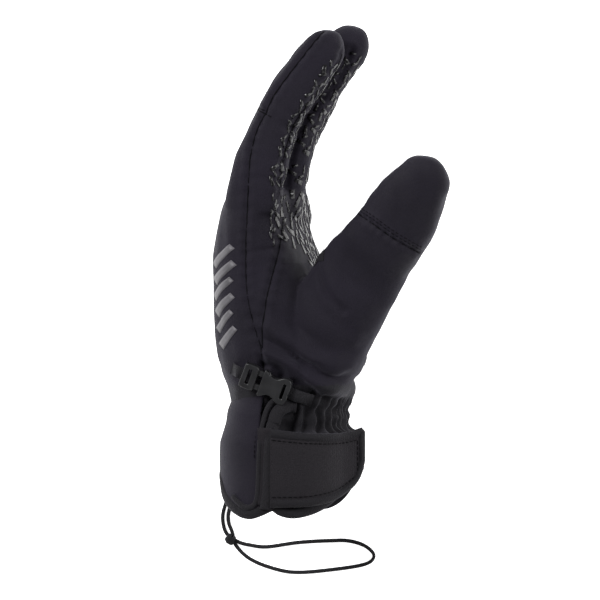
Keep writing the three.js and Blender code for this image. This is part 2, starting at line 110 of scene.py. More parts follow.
def make_room():
    world = bpy.data.worlds.new("studio")
    world.use_nodes = True
    background = world.node_tree.nodes["Background"]
    background.inputs["Color"].default_value = (1, 1, 1, 1)
    background.inputs["Strength"].default_value = WORLD_LIGHT
    bpy.context.scene.world = world
    bpy.context.scene.view_settings.view_transform = "Standard"
    aim = (0, 0.1, 0.04)
    area_light("key", (-0.75, 0.7, 1.1), aim, (0.5, 0.5), 30)
    area_light("palm_side", (1.0, 0.35, 0.55), aim, (0.4, 0.8), 12)
    area_light("front", (0.1, -1.0, 0.9), aim, (0.9, 0.4), 4)
    mesh = bpy.data.meshes.new("floor")
    corners = [(-1, -1), (1, -1), (1, 1), (-1, 1)]
    mesh.from_pydata([(x * FLOOR_SIDE, y * FLOOR_SIDE, 0) for x, y in corners], [],
                     [(0, 1, 2, 3)])
    floor = bpy.data.objects.new("floor", mesh)
    bpy.context.scene.collection.objects.link(floor)
    material, shader, _ = new_material("floor_paint")
    shader.inputs["Base Color"].default_value = (*[FLOOR_WHITE] * 3, 1)
    shader.inputs["Roughness"].default_value = 0.9
    shader.inputs["Emission Color"].default_value = (1, 1, 1, 1)
    shader.inputs["Emission Strength"].default_value = FLOOR_GLOW
    mesh.materials.append(material)


# ------------------------------------------------------------------ materials
def new_material(name):
    material = bpy.data.materials.new(name)
    material.use_nodes = True
    tree = material.node_tree
    return material, tree.nodes["Principled BSDF"], tree


def link(tree, source, target):
    tree.links.new(source, target)


def texture(tree, kind, scale, vector=None, **inputs):
    node = tree.nodes.new(kind)
    node.inputs["Scale"].default_value = scale
    for name, value in inputs.items():
        node.inputs[name].default_value = value
    if vector is None:
        vector = tree.nodes.new("ShaderNodeTexCoord").outputs["Object"]
    link(tree, vector, node.inputs["Vector"])
    return node


def bump(tree, height, strength, distance, after=None):
    node = tree.nodes.new("ShaderNodeBump")
    node.inputs["Strength"].default_value = strength
    node.inputs["Distance"].default_value = distance
    link(tree, height, node.inputs["Height"])
    if after is not None:
        link(tree, after.outputs["Normal"], node.inputs["Normal"])
    return node


def ramp(tree, value, stops):
    node = tree.nodes.new("ShaderNodeValToRGB")
    while len(node.color_ramp.elements) > len(stops):
        node.color_ramp.elements.remove(node.color_ramp.elements[-1])
    for element, (place, color) in zip(node.color_ramp.elements, stops):
        element.position = place
        element.color = (*color, 1)
    link(tree, value, node.inputs["Fac"])
    return node


def remap(tree, value, low, high):
    node = tree.nodes.new("ShaderNodeMapRange")
    node.inputs["To Min"].default_value = low
    node.inputs["To Max"].default_value = high
    link(tree, value, node.inputs["Value"])
    return node.outputs["Result"]


def fabric(name, dark, light, thread=0.0006, weave=0.5, sheen=0.06, rough=(0.72, 0.9)):
    """Woven or knitted cloth: fine threads, faint mottling and a soft sheen."""
    material, shader, tree = new_material(name)
    cloud = texture(tree, "ShaderNodeTexNoise", 38, Detail=5, Roughness=0.6)
    fleck = texture(tree, "ShaderNodeTexNoise", 0.9 / thread, Detail=2)
    shade = tree.nodes.new("ShaderNodeMath")
    shade.operation = "MULTIPLY_ADD"
    shade.inputs[1].default_value = 0.45
    link(tree, fleck.outputs["Fac"], shade.inputs[0])
    link(tree, remap(tree, cloud.outputs["Fac"], 0.0, 0.55), shade.inputs[2])
    tone = ramp(tree, shade.outputs["Value"], [(0.25, dark), (0.75, light)])
    link(tree, tone.outputs["Color"], shader.inputs["Base Color"])
    link(tree, remap(tree, cloud.outputs["Fac"], *rough), shader.inputs["Roughness"])
    cells = texture(tree, "ShaderNodeTexVoronoi", 1 / thread)
    threads = bump(tree, cells.outputs["Distance"], weave, thread * 0.6)
    cloth = bump(tree, cloud.outputs["Fac"], 0.25, 0.0015, threads)
    link(tree, cloth.outputs["Normal"], shader.inputs["Normal"])
    shader.inputs["Sheen Weight"].default_value = sheen
    shader.inputs["Sheen Roughness"].default_value = 0.45
    shader.inputs["Sheen Tint"].default_value = (0.7, 0.68, 0.85, 1)
    shader.inputs["Specular IOR Level"].default_value = 0.13
    return material


def knit(name, dark, light, rib=0.0011):
    """Edge tape, webbing and strap face: a visible rib over a fine cloth."""
    material = fabric(name, dark, light, thread=0.0007, weave=0.7, sheen=0.03)
    tree = material.node_tree
    shader = tree.nodes["Principled BSDF"]
    ribs = texture(tree, "ShaderNodeTexVoronoi", 1 / rib, Randomness=0.35)
    before = shader.inputs["Normal"].links[0].from_node
    over = bump(tree, ribs.outputs["Distance"], 0.55, rib * 0.5, before)
    link(tree, over.outputs["Normal"], shader.inputs["Normal"])
    return material


def moulded(name, color, rough, grain=0.25, specular=0.5):
    """Moulded plastic or printed silicone, with a faint grain."""
    material, shader, tree = new_material(name)
    cloud = texture(tree, "ShaderNodeTexNoise", 160, Detail=4)
    grainy = texture(tree, "ShaderNodeTexNoise", 2600, Detail=2)
    low = tuple(c * 0.8 for c in color)
    high = tuple(c * 1.25 for c in color)
    tone = ramp(tree, cloud.outputs["Fac"], [(0.3, low), (0.7, high)])
    link(tree, tone.outputs["Color"], shader.inputs["Base Color"])
    link(tree, remap(tree, cloud.outputs["Fac"], rough * 0.8, rough * 1.25),
         shader.inputs["Roughness"])
    bumped = bump(tree, grainy.outputs["Fac"], grain, 0.0001)
    link(tree, bumped.outputs["Normal"], shader.inputs["Normal"])
    shader.inputs["Specular IOR Level"].default_value = specular
    return material


def make_materials():
    return {
        "softshell": fabric("softshell", (0.0042, 0.0034, 0.0062), (0.0082, 0.0066, 0.012)),
        "palm_fabric": fabric("palm_fabric", (0.0042, 0.0034, 0.0062),
                              (0.008, 0.0065, 0.0116), thread=0.0005, rough=(0.62, 0.8)),
        "stretch": fabric("stretch", (0.004, 0.0038, 0.005), (0.0078, 0.0072, 0.0092),
                          thread=0.0009, weave=0.4),
        "fleece": fabric("fleece", (0.01, 0.01, 0.011), (0.022, 0.022, 0.024), thread=0.0016,
                         weave=1.0, sheen=0.2, rough=(0.9, 1.0)),
        "neoprene": knit("neoprene", (0.0062, 0.0053, 0.0068), (0.0112, 0.0098, 0.012),
                         0.0009),
        "tape": knit("tape", (0.0052, 0.0048, 0.006), (0.009, 0.0083, 0.0102), 0.0008),
        # Black thread, made darker than the cloth as painted shade of stitch pits; the dark
        # lines painted into the seam grooves use it too.
        "thread": moulded("thread", (0.0016, 0.0015, 0.002), 0.8, 0.3, 0.05),
        "hook": fabric("hook", (0.006, 0.006, 0.0066), (0.016, 0.016, 0.017), thread=0.0013,
                       weave=1.0, sheen=0.04),
        "webbing": knit("webbing", (0.0055, 0.0053, 0.0063), (0.0105, 0.01, 0.012), 0.0012),
        "plastic": moulded("plastic", (0.007, 0.007, 0.008), 0.38, 0.25, 0.35),
        "silicone": moulded("silicone", (0.0048, 0.0046, 0.0053), 0.24, 0.15, 0.3),
        "reflective": moulded("reflective", (0.06, 0.057, 0.063), 0.5, 0.5, 0.3),
        "elastic": knit("elastic", (0.007, 0.007, 0.0078), (0.014, 0.0135, 0.0148), 0.0008),
    }


# ------------------------------------------------------------------ mesh tools
def smoothstep(low, high, value):
    t = np.clip((np.asarray(value, float) - low) / (high - low), 0, 1)
    return t * t * (3 - 2 * t)


def make_piece(name, points, faces, material, slot, body=None, replaces=(), normals=None):
    """A named mesh from points in millimetres, riding on a body."""
    mesh = bpy.data.meshes.new(name)
    mesh.from_pydata((np.asarray(points) * MM).tolist(), [], [tuple(f) for f in faces])
    mesh.validate()
    mesh.materials.append(materials[material])
    mesh.polygons.foreach_set("use_smooth", [True] * len(mesh.polygons))
    if normals is not None:
        mesh.normals_split_custom_set_from_vertices(np.asarray(normals).tolist())
    mesh.update()
    piece = bpy.data.objects.new(name, mesh)
    bpy.context.scene.collection.objects.link(piece)
    if replaces:
        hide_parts(*replaces)
    if body:
        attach(piece, body)
    return piece


def grid_faces(rows, columns, closed=False):
    """Quads over rows of points. closed joins each row's last point to its first."""
    faces = []
    last = columns if closed else columns - 1
    for r in range(rows - 1):
        for c in range(last):
            d = (c + 1) % columns
            faces.append((r * columns + c, r * columns + d,
                          (r + 1) * columns + d, (r + 1) * columns + c))
    return faces


def sheet_faces(rows, columns):
    """A closed double layer: two grids of points, one after the other, joined at the rim."""
    count = rows * columns
    grid = grid_faces(rows, columns)
    faces = [f[::-1] for f in grid] + [tuple(i + count for i in f) for f in grid]
    rim = list(range(columns)) + [r * columns + columns - 1 for r in range(1, rows)]
    rim += [(rows - 1) * columns + c for c in range(columns - 2, -1, -1)]
    rim += [r * columns for r in range(rows - 2, 0, -1)]
    return faces + [(a, b, b + count, a + count) for a, b in zip(rim, rim[1:] + rim[:1])]


def tube_faces(rings, count):
    """A closed tube through rings of count points, capped at both ends."""
    faces = grid_faces(rings, count, closed=True)
    faces.append(tuple(range(count))[::-1])
    faces.append(tuple((rings - 1) * count + k for k in range(count)))
    return faces


def spline(points, count):
    """So many points, evenly spaced, on a smooth curve through the given ones."""
    points = np.asarray(points, float)
    ends = np.vstack([2 * points[0] - points[1], points, 2 * points[-1] - points[-2]])
    fine = []
    for k in range(len(points) - 1):
        p0, p1, p2, p3 = ends[k:k + 4]
        for t in np.linspace(0, 1, 24, endpoint=False):
            fine.append(0.5 * (2 * p1 + (p2 - p0) * t + (2 * p0 - 5 * p1 + 4 * p2 - p3) * t * t
                               + (3 * p1 - p0 - 3 * p2 + p3) * t ** 3))
    fine.append(points[-1])
    return even(fine, count)


def even(points, count):
    points = np.asarray(points, float)
    steps = np.linalg.norm(np.diff(points, axis=0), axis=1)
    along = np.concatenate([[0], np.cumsum(steps)])
    wanted = np.linspace(0, along[-1], count)
    return np.column_stack([np.interp(wanted, along, points[:, k])
                            for k in range(points.shape[1])])


def sweep(path, normals, profile, closed=False):
    """Points and faces of a profile carried along a path. The profile's first number goes
    sideways and its second one along the normal."""
    path = np.asarray(path, float)
    normals = np.asarray(normals, float)
    if closed:
        tangents = np.roll(path, -1, 0) - np.roll(path, 1, 0)
    else:
        tangents = np.gradient(path, axis=0)
    tangents /= np.linalg.norm(tangents, axis=1)[:, None]
    sideways = np.cross(tangents, normals)
    sideways /= np.linalg.norm(sideways, axis=1)[:, None]
    upward = np.cross(sideways, tangents)
    points = []
    for p, s, u in zip(path, sideways, upward):
        points += [p + s * a + u * b for a, b in profile]
    count = len(profile)
    faces = tube_faces(len(path), count)
    if closed:
        faces = faces[:-2]
        last = (len(path) - 1) * count
        faces += [(last + k, last + (k + 1) % count, (k + 1) % count, k) for k in range(count)]
    return points, faces


def oval(wide, tall, count=10, lift=0.0):
    turns = [2 * math.pi * k / count for k in range(count)]
    return [(wide / 2 * math.cos(t), lift + tall / 2 * math.sin(t)) for t in turns]


def above(height, points):
    """The same points, none of them lower than a height."""
    points = np.array(points)
    points[:, 2] = np.maximum(points[:, 2], height)
    return points


def join(parts):
    """Several (points, faces) as one."""
    points, faces = [], []
    for some_points, some_faces in parts:
        shift = len(points)
        points += [tuple(p) for p in some_points]
        faces += [tuple(i + shift for i in f) for f in some_faces]
    return points, faces


# ------------------------------------------------------------------ the glove's body
CROTCH_HEADING = 13.0  # degrees from +Y towards the palm, where the fingers begin
FINGER_RADIUS = 161.0
MIDDLE_KNUCKLE = 37.0
THUMB_HEADING = 37.5
THUMB_RISE = 0.54
THUMB_KNUCKLE = 26.0
THUMB_BOW = 3.0  # the tip's drift away from the fingers
ROUND = 2.4
FLAT = 3.6  # squareness of the side that the glove lies on
FINGER_LENGTH = {"index": 84.5, "middle": 87.5, "ring": 82.0, "little": 68.0}
FINGER_HALF = {"index": (16.2, 12.2), "middle": (14.4, 12.2), "ring": (14.4, 11.8),
               "little": (13.6, 11.4)}
FINGER_LEAN = {"index": -0.8, "middle": -3.0, "ring": -5.5, "little": -5.0}  # tips, to palm
SEPARATION = 0.8  # how much thinner a finger is than its share of the hand
VOXEL = 1.15
THUMB_WEB = (20.0, 122.0)  # where the thumb parts from the palm, seen from above
LOWEST_SKIN = 0.25


def forward(heading):
    a = math.radians(heading)
    return np.array([math.sin(a), math.cos(a), 0.0])


def across(heading):
    a = math.radians(heading)
    return np.array([math.cos(a), -math.sin(a), 0.0])


def signed_power(value, exponent):
    return np.sign(value) * np.abs(value) ** exponent


def section(x, y, heading, half, low, high, base=ROUND, count=56):
    """One rounded section, upright across the heading."""
    turn = np.arange(count) * 2 * math.pi / count
    shape = np.where(np.sin(turn) < 0, 2 / base, 2 / ROUND)
    u = half * signed_power(np.cos(turn), shape)
    w = (high - low) / 2 * signed_power(np.sin(turn), shape)
    points = np.array([x, y, (low + high) / 2]) + np.outer(u, across(heading))
    points[:, 2] += w
    return points


def loft(stations, steps=4, **options):
    """A closed sleeve through stations (x, y, heading, half, low, high), rounded off between
    them."""
    table = spline(stations, steps * (len(stations) - 1) + 1)
    rings = [section(*row, **options) for row in table]
    return np.concatenate(rings), tube_faces(len(rings), len(rings[0]))


def finger_place(name, distance):
    """The middle of a finger, so far from its root joint, and its heading there."""
    root = joint_at(name + "_root_flex")
    heading = CROTCH_HEADING + math.degrees(distance / FINGER_RADIUS)
    place = root + FINGER_RADIUS * (across(CROTCH_HEADING) - across(heading))
    share = distance / FINGER_LENGTH[name]
    return place + across(heading) * FINGER_LEAN[name] * share, heading


def finger_sleeve(name):
    """A finger from inside the hand to its rounded tip."""
    low, high = node_box(name + "_base_shell")
    middle = (low[2] + high[2]) / 2
    tall = (high[2] - low[2]) / 2 - SEPARATION
    root_half, tip_half = FINGER_HALF[name]
    length = FINGER_LENGTH[name]
    rows = []
    for share in np.linspace(0, 1, 9):
        distance = -16 + (length + 16) * share
        place, heading = finger_place(name, distance)
        swell = 0.5 * math.sin(share * 9.0)
        half = root_half + (tip_half - root_half) * share ** 0.8 + swell
        rows.append((*place[:2], heading, half, middle - tall + 1.2 * share ** 2,
                     middle + tall - 1.2 * share ** 2))
    for turn in (20, 40, 58, 72, 83):
        c = math.cos(math.radians(turn))
        reach = 1.12 * tip_half * math.sin(math.radians(turn))
        place, heading = finger_place(name, length + reach)
        rows.append((*place[:2], heading, tip_half * c ** 1.25, middle - (tall - 1.2) * c,
                     middle + (tall - 1.2) * c))
    fine = spline(rows[:9], 25).tolist() + [list(r) for r in rows[9:]]
    rings = [section(*row) for row in fine]
    return np.concatenate(rings), tube_faces(len(rings), len(rings[0]))


def thumb_place(distance):
    root = joint_at("thumb_root_flex")
    place = root + forward(THUMB_HEADING) * distance
    place += across(THUMB_HEADING) * THUMB_BOW * smoothstep(-6, 34, distance)
    place[2] += THUMB_RISE * distance
    return place


def thumb_row(distance, half, tall):
    place = thumb_place(distance)
    return (*place[:2], THUMB_HEADING, half, place[2] - tall, place[2] + tall)


def thumb_sleeve():
    """The thumb from the palm's edge to its rounded tip. Its rows are as in loft()."""
    end, half, tall = THUMB_KNUCKLE + 38.5, 15.2, 12.8
    rows = [
        (6, 42, 12, 21, 40, 93), (17, 66, 22, 24.5, 50, 99), (29, 90, 32, 25.5, 61, 104),
        thumb_row(0, 24.6, 17), thumb_row(14, 22.6, 16.6),
        thumb_row(THUMB_KNUCKLE, 21.4, 15.9),
        thumb_row(THUMB_KNUCKLE + 17, 20.8, 15), thumb_row(THUMB_KNUCKLE + 29, 18.4, 14.2),
        thumb_row(end, half, tall),
    ]
    fine = spline(rows, 40).tolist()
    for turn in (18, 36, 53, 68, 81):
        c = math.cos(math.radians(turn))
        fine.append(thumb_row(end + half * math.sin(math.radians(turn)), half * c, tall * c))
    rings = [section(*row) for row in fine]
    return np.concatenate(rings), tube_faces(len(rings), len(rings[0]))


def hand_sleeve():
    """The hand from inside the cuff to the fingers' roots."""
    top = node_box("back_panel")[1][2]
    rows = [
        (-3.8, 10, 0, 35.4, 4, 101), (-3.8, 19, 0, 34.6, 4, 101), (-3.8, 28, 0, 32.4, 7, 98),
        (-4.4, 45, 0, 34, 7, 99), (-9, 62, 0, 35, 4, 102), (-13.6, 90, 3, 32.6, 0.6, top),
        (-17.2, 118, 6, 28.8, 0.4, top), (-19.4, 145, 10, 21.8, 0.6, top - 0.3),
        (-15.4, 158, 13, 18.6, 1.2, top - 1.5),
        (-12.8, 163.5, 13, 13.4, 6, top - 8),
    ]
    points, faces = loft(rows, 6, base=FLAT, count=96)
    # The crotch beside the little finger sits lower down the hand.
    drop = -joint_drop("little") * smoothstep(34, 20, points[:, 2])
    points[:, 1] -= drop * smoothstep(120, 160, points[:, 1])
    return points, faces


def joint_drop(name):
    """How far a finger's root lies from the index finger's, along the fingers."""
    apart = joint_at(name + "_root_flex") - joint_at("index_root_flex")
    return float(apart @ forward(CROTCH_HEADING))


def remeshed(points, faces):
    """One even skin over overlapping closed shapes."""
    mesh = bpy.data.meshes.new("rough")
    mesh.from_pydata((points * MM).tolist(), [], faces)
    shape = bpy.data.objects.new("rough", mesh)
    bpy.context.scene.collection.objects.link(shape)
    modifier = shape.modifiers.new("skin", "REMESH")
    modifier.mode = "VOXEL"
    modifier.voxel_size = VOXEL * MM
    modifier.adaptivity = 0
    bpy.context.view_layer.update()
    final = shape.evaluated_get(bpy.context.evaluated_depsgraph_get()).to_mesh()
    co = np.empty(len(final.vertices) * 3)
    final.vertices.foreach_get("co", co)
    quads = [tuple(p.vertices) for p in final.polygons]
    bpy.data.objects.remove(shape)
    return co.reshape(-1, 3) / MM, quads


class Skin:
    """The glove's outer surface, while it is being shaped."""

    def __init__(self, points, faces):
        self.points = points
        self.faces = faces
        self.quads = np.array([f if len(f) == 4 else (*f, f[-1]) for f in faces])
        a, b = self.quads, np.roll(self.quads, -1, axis=1)
        edges = np.unique(np.sort(np.column_stack([a.ravel(), b.ravel()]), axis=1), axis=0)
        self.edges = edges[edges[:, 0] != edges[:, 1]]
        self.degree = np.bincount(self.edges.ravel(), minlength=len(points))

    def average(self, values):
        """Each point's neighbours' mean."""
        a, b = self.edges.T
        count = len(self.points)
        columns = [np.bincount(a, values[b, k], count) + np.bincount(b, values[a, k], count)
                   for k in range(values.shape[1])]
        return np.column_stack(columns) / self.degree[:, None]

    def relax(self, rounds, weight=1.0):
        weight = np.broadcast_to(weight, len(self.points))[:, None]
        for _ in range(rounds):
            shift = self.average(self.points) - self.points
            self.points = self.points + 0.5 * weight * shift

    def normals(self):
        q = self.points[self.quads]
        face = np.cross(q[:, 2] - q[:, 0], q[:, 3] - q[:, 1])
        total = np.zeros_like(self.points)
        for k in range(4):
            for axis in range(3):
                total[:, axis] += np.bincount(self.quads[:, k], face[:, axis], len(total))
        return total / np.maximum(np.linalg.norm(total, axis=1), 1e-9)[:, None]

    def push(self, amount):
        self.points = self.points + self.normals() * np.asarray(amount)[:, None]


def to_line(points, line):
    """How far points are from a line in the XY plane, and how far along it the nearest
    place is."""
    flat = points[:, :2]
    line = spline(line, 4 * len(line))
    best = np.full(len(points), 1e9)
    along = np.zeros(len(points))
    start = 0.0
    for a, b in zip(line[:-1], line[1:]):
        d = b - a
        length = np.linalg.norm(d)
        t = np.clip((flat - a) @ d / length ** 2, 0, 1)
        away = np.linalg.norm(flat - a - t[:, None] * d, axis=1)
        nearer = away < best
        best[nearer] = away[nearer]
        along[nearer] = start + t[nearer] * length
        start += length
    return best, along


def clouds(points, size, seed):
    """Smooth random heights from -1 to 1, features of about the given size."""
    shift = Vector((seed * 17.3, seed * 5.1, seed * 9.7))
    return np.array([noise.noise(Vector(p) / size + shift) for p in points])


BACK_SEAM = [(24, 248), (18.7, 241), (12.3, 233), (5.3, 224), (-3.6, 212), (-8.3, 202),
             (-12.8, 194), (-16.2, 182), (-17.6, 170), (-18.6, 146), (-19.4, 123),
             (-18.8, 104), (-16.2, 88.5), (-12.9, 76), (-11, 69), (-10.5, 54)]
PALM_SEAM = [(36, 240), (30, 225), (21, 214), (8, 197), (2, 180), (-0.8, 165), (-1.8, 149),
             (-1.8, 127), (-4.4, 112), (-7.7, 96.5), (-9.9, 81), (-10.4, 70)]
CROSS_SEAM = 38.2  # from a finger's root, over its back
INDEX_CROSS = [(-19, 206.5), (-13.3, 205.2), (-8.6, 203.5)]
SIDE_STEP = [(-20, 124), (-10, 125), (-2, 127)]  # where the index finger's sidewall ends
THUMB_CREASES = (
    ([(15, 124), (19, 117), (23, 108), (28, 99), (36, 91)], 2.0, 2.4),
    ([(12, 116), (16, 104), (24, 92), (38, 82)], 0.9, 4.5),
    ([(26, 121), (34, 113), (46, 104), (60, 98)], 0.7, 3.6),
)  # lines, depths and widths
CAP_SEAM = [(44, 146), (54, 140.5), (66, 132), (84, 121)]


def seam(skin, line, up, depth=1.1, pucker=0.35, pitch=7.0):
    """Sinks a sewn seam into the upper (or lower) side, with small puckers beside it."""
    away, along = to_line(skin.points, line)
    facing = smoothstep(0.15, 0.5, skin.normals()[:, 2] * up)
    groove = -depth * np.exp(-(away / 1.25) ** 2) + 0.4 * np.exp(-((away - 3.2) / 1.6) ** 2)
    waves = np.sin(along * 2 * math.pi / pitch + 1.7 * np.sin(along / 11))
    groove += pucker * waves * np.exp(-(away / 4.5) ** 2)
    skin.push(facing * groove)


def fold_height(x):
    """Where the hand's fabric rolls over the gathered wrist."""
    return 64 - 23 * smoothstep(-14, 34, x)


WRIST_ROLLS = ((4.5, 4.2, 3.8), (11.5, 2.3, -2.4), (18.0, 4.6, 2.2), (27.0, 5.5, -1.6))


def gather_wrist(skin):
    """The elastic draws the wrist in, and the fabric above it rolls over."""
    p = skin.points
    edge = fold_height(p[:, 0])
    below = smoothstep(1.5, -5, p[:, 1] - edge)
    palm_side = smoothstep(-14, -6, p[:, 0])
    n = skin.normals()
    turn = np.arctan2(p[:, 2] - 53, p[:, 0] + 4)
    girth = turn * 38
    wander = clouds(np.column_stack([girth, p[:, 1], p[:, 2] * 0]), 9, 3)
    pleats = np.sin(girth * 2 * math.pi / 8.5 + 2.6 * wander + p[:, 1] * 0.12)
    rows = np.sin((p[:, 1] + 1.6 * wander) * 2 * math.pi / 9.0)
    waist = smoothstep(16, 28, p[:, 1])
    amount = below * palm_side * (-3.4 * waist + 1.6 * pleats + 0.8 * rows)
    amount += below * (1 - palm_side) * -0.6
    facing = 0.25 * smoothstep(-0.2, 0.5, n[:, 2] + n[:, 0])
    facing = (facing + 0.75 * smoothstep(0.15, 0.7, n[:, 2])) * palm_side
    for offset, width, height in WRIST_ROLLS:
        above = p[:, 1] - edge - offset - (offset / 8) * wander
        amount += facing * height * np.exp(-(above / width) ** 2)
    skin.push(amount)


def crease(skin, line, up, depth, width):
    away, _ = to_line(skin.points, line)
    facing = smoothstep(0.0, 0.5, skin.normals()[:, 2] * up)
    skin.push(facing * -depth * np.exp(-(away / width) ** 2))


def finger_wrinkles(skin):
    """Soft folds across the palm side of each finger's middle joint and root."""
    for name in FINGERS:
        low, high = node_box(name + "_base_shell")
        for distance, depth in ((MIDDLE_KNUCKLE, 0.9), (MIDDLE_KNUCKLE + 9, 0.5), (4, 0.8)):
            place, heading = finger_place(name, distance)
            rel = skin.points - place
            inside = (skin.points[:, 2] > low[2]) & (skin.points[:, 2] < high[2])
            near = inside & (np.abs(rel @ across(heading)) < 24)
            side = smoothstep(-4, 9, rel @ across(heading))
            fold = np.exp(-((rel @ forward(heading)) / 2.2) ** 2)
            skin.push(np.where(near, -depth * side * fold, 0))


def shape_skin():
    parts = [hand_sleeve(), thumb_sleeve()] + [finger_sleeve(name) for name in FINGERS]
    points, faces = join(parts)
    skin = Skin(*remeshed(np.array(points), faces))
    skin.relax(6)
    web = np.linalg.norm(skin.points[:, :2] - np.array(THUMB_WEB), axis=1)
    skin.relax(24, smoothstep(26, 10, web))
    gather_wrist(skin)
    skin.push(0.9 * clouds(skin.points, 26, 1) + 0.3 * clouds(skin.points, 9, 2))
    drawn = skin.points * np.array([1.0, 0.3, 0.6])
    skin.push(0.55 * clouds(drawn, 7, 4))
    for up in (1, -1):
        seam(skin, BACK_SEAM, up)
        seam(skin, PALM_SEAM, up, depth=0.9)
    seam(skin, INDEX_CROSS, 1, depth=0.8, pucker=0.1)
    seam(skin, CAP_SEAM, 1, depth=1.3, pucker=0.3, pitch=5.0)
    seam(skin, CAP_SEAM, -1, depth=1.2, pucker=0.3, pitch=5.0)
    for line, depth, width in THUMB_CREASES:
        crease(skin, line, 1, depth, width)
    crease(skin, SIDE_STEP, 1, 0.9, 1.5)
    finger_wrinkles(skin)
    skin.relax(1, 0.6)
    skin.points = above(LOWEST_SKIN, skin.points)
    return skin


# ------------------------------------------------------------------ pieces of the skin
# Where the skin is cut into pieces, as distances beyond a joint or along the hand.
ROOT_END = 18.5
THUMB_ROOT_BLEND = (-2.0, 12.0)
THUMB_ROOT_END = 13.0
WRIST_END = 49.0
MIDDLE_Z = 53.0  # halfway up the hand, as it lies
FINGER_EDGES = (1e3, 80.25, 53.25, 26.75, -1e3)  # heights between the four fingers


def split_hand(region, centres):
    """Divides the hand along its sewn seams."""
    x, y, z = centres.T
    hand = region == "hand_skin"
    back = np.array(BACK_SEAM)[::-1]
    palm = np.array(PALM_SEAM)[::-1]
    behind = x < np.interp(y, back[:, 1], back[:, 0])
    before = x > np.interp(y, palm[:, 1], palm[:, 0])
    gusset = before & (z > 58) & ((y < 118) | (x > 17))
    region[hand] = "side_index_skin"
    region[hand & (z < MIDDLE_Z)] = "side_little_skin"
    region[hand & behind] = "back_skin"
    region[hand & before] = "palm_skin"
    region[hand & gusset] = "gusset_skin"


def face_regions(skin):
    """Which piece each face belongs to."""
    centres = skin.points[skin.quads].mean(axis=1)
    region = np.full(len(centres), "hand_skin", dtype=object)
    region[centres[:, 1] < WRIST_END] = "wrist_skin"
    root = thumb_place(0)
    along = (centres - root) @ forward(THUMB_HEADING)
    side = (centres - root) @ across(THUMB_HEADING)
    thumb = (side > -29) & (centres[:, 2] > 55)
    region[thumb & (along > THUMB_ROOT_BLEND[0] - 1)] = "thumb_root_skin"
    region[thumb & (along > THUMB_ROOT_END)] = "thumb_cap_skin"
    split_hand(region, centres)
    for name, high, low in zip(FINGERS, FINGER_EDGES[:-1], FINGER_EDGES[1:]):
        root = joint_at(name + "_root_flex")
        along = (centres - root) @ forward(CROTCH_HEADING)
        slab = ~thumb & (centres[:, 2] < high) & (centres[:, 2] >= low)
        region[slab & (along > -0.8)] = name + "_root_skin"
        place, heading = finger_place(name, ROOT_END)
        beyond = (centres - place) @ forward(heading) > 0
        region[slab & (along > 8) & beyond] = name + "_tip_skin"
    region[centres[:, 1] < 13.5] = "cut"
    return region


def blend_along(piece):
    """Bakes a piece's placement into its mesh."""
    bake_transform(piece)


def blend_finger(piece):
    blend_along(piece)


def blend_thumb(piece):
    blend_along(piece)


def blend_wrist(piece):
    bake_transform(piece)


SKIN_NODES = {
    "back_skin": ("back_panel",),
    "side_index_skin": ("index_side_panel",),
    "side_little_skin": ("little_side_panel",),
    "palm_skin": ("palm_panel",),
    "gusset_skin": ("thumb_gusset",),
    "wrist_skin": ("gathered_wrist",),
    "thumb_root_skin": ("thumb_base_shell", "thumb_base_liner"),
    "thumb_cap_skin": ("thumb_cap_shell", "thumb_tip_liner"),
}
for finger in FINGERS:
    SKIN_NODES[finger + "_root_skin"] = (finger + "_base_shell", finger + "_base_liner")
    SKIN_NODES[finger + "_tip_skin"] = (finger + "_tip_shell", finger + "_tip_liner")


HAND_PANELS = ("back_skin", "side_index_skin", "side_little_skin", "palm_skin", "gusset_skin")
SKIN_MATERIALS = {"thumb_cap_skin": "palm_fabric", "palm_skin": "palm_fabric",
                  "wrist_skin": "stretch"}


def make_skin_pieces(skin):
    region = face_regions(skin)
    normals = skin.normals()
    for name, nodes in SKIN_NODES.items():
        chosen = np.flatnonzero(region == name)
        used, where = np.unique(skin.quads[chosen], return_inverse=True)
        faces = [list(dict.fromkeys(quad.tolist())) for quad in where.reshape(-1, 4)]
        material = SKIN_MATERIALS.get(name, "softshell")
        slot = "stretch_fabric" if material == "stretch" else material
        body = "hand" if name in HAND_PANELS else None
        piece = make_piece(name, skin.points[used], faces, material, slot, body, nodes,
                           normals[used])
        blend_like(piece, name)


def blend_like(piece, name):
    """Bakes the placement of a piece on a finger, the thumb or the wrist into its mesh."""
    owner, part = name.split("_")[:2]
    if owner in FINGERS:
        blend_finger(piece)
    elif owner == "thumb":
        blend_thumb(piece)
    elif owner == "wrist":
        blend_wrist(piece)


# ------------------------------------------------------------------ printed marks
class Surface:
    """Finds places on the skin."""

    def __init__(self, skin):
        faces = [tuple(dict.fromkeys(quad.tolist())) for quad in skin.quads]
        self.tree = BVHTree.FromPolygons([Vector(p) for p in skin.points], faces)

    def towards(self, inside, direction, reach=60.0):
        """The skin that a ray from inside the glove comes out through."""
        place, normal, _, _ = self.tree.ray_cast(Vector(inside), Vector(direction), reach)
        if place is None or normal.dot(Vector(direction)) < 0.3:
            return None
        return np.array(place), np.array(normal)

    def nearest(self, place):
        found, normal, _, _ = self.tree.find_nearest(Vector(place))
        return np.array(found), np.array(normal)


def mark(rows, thick, sink=0.5):
    """A raised printed strip. Each row holds (place, normal) pairs from side to side."""
    points = []
    for row in rows:
        points += [place + normal * thick for place, normal in row]
        points += [place - normal * sink for place, normal in reversed(row)]
    return points, tube_faces(len(rows), 2 * len(rows[0]))


PRINT_RADIUS = 16.0  # turns a length across the glove into degrees


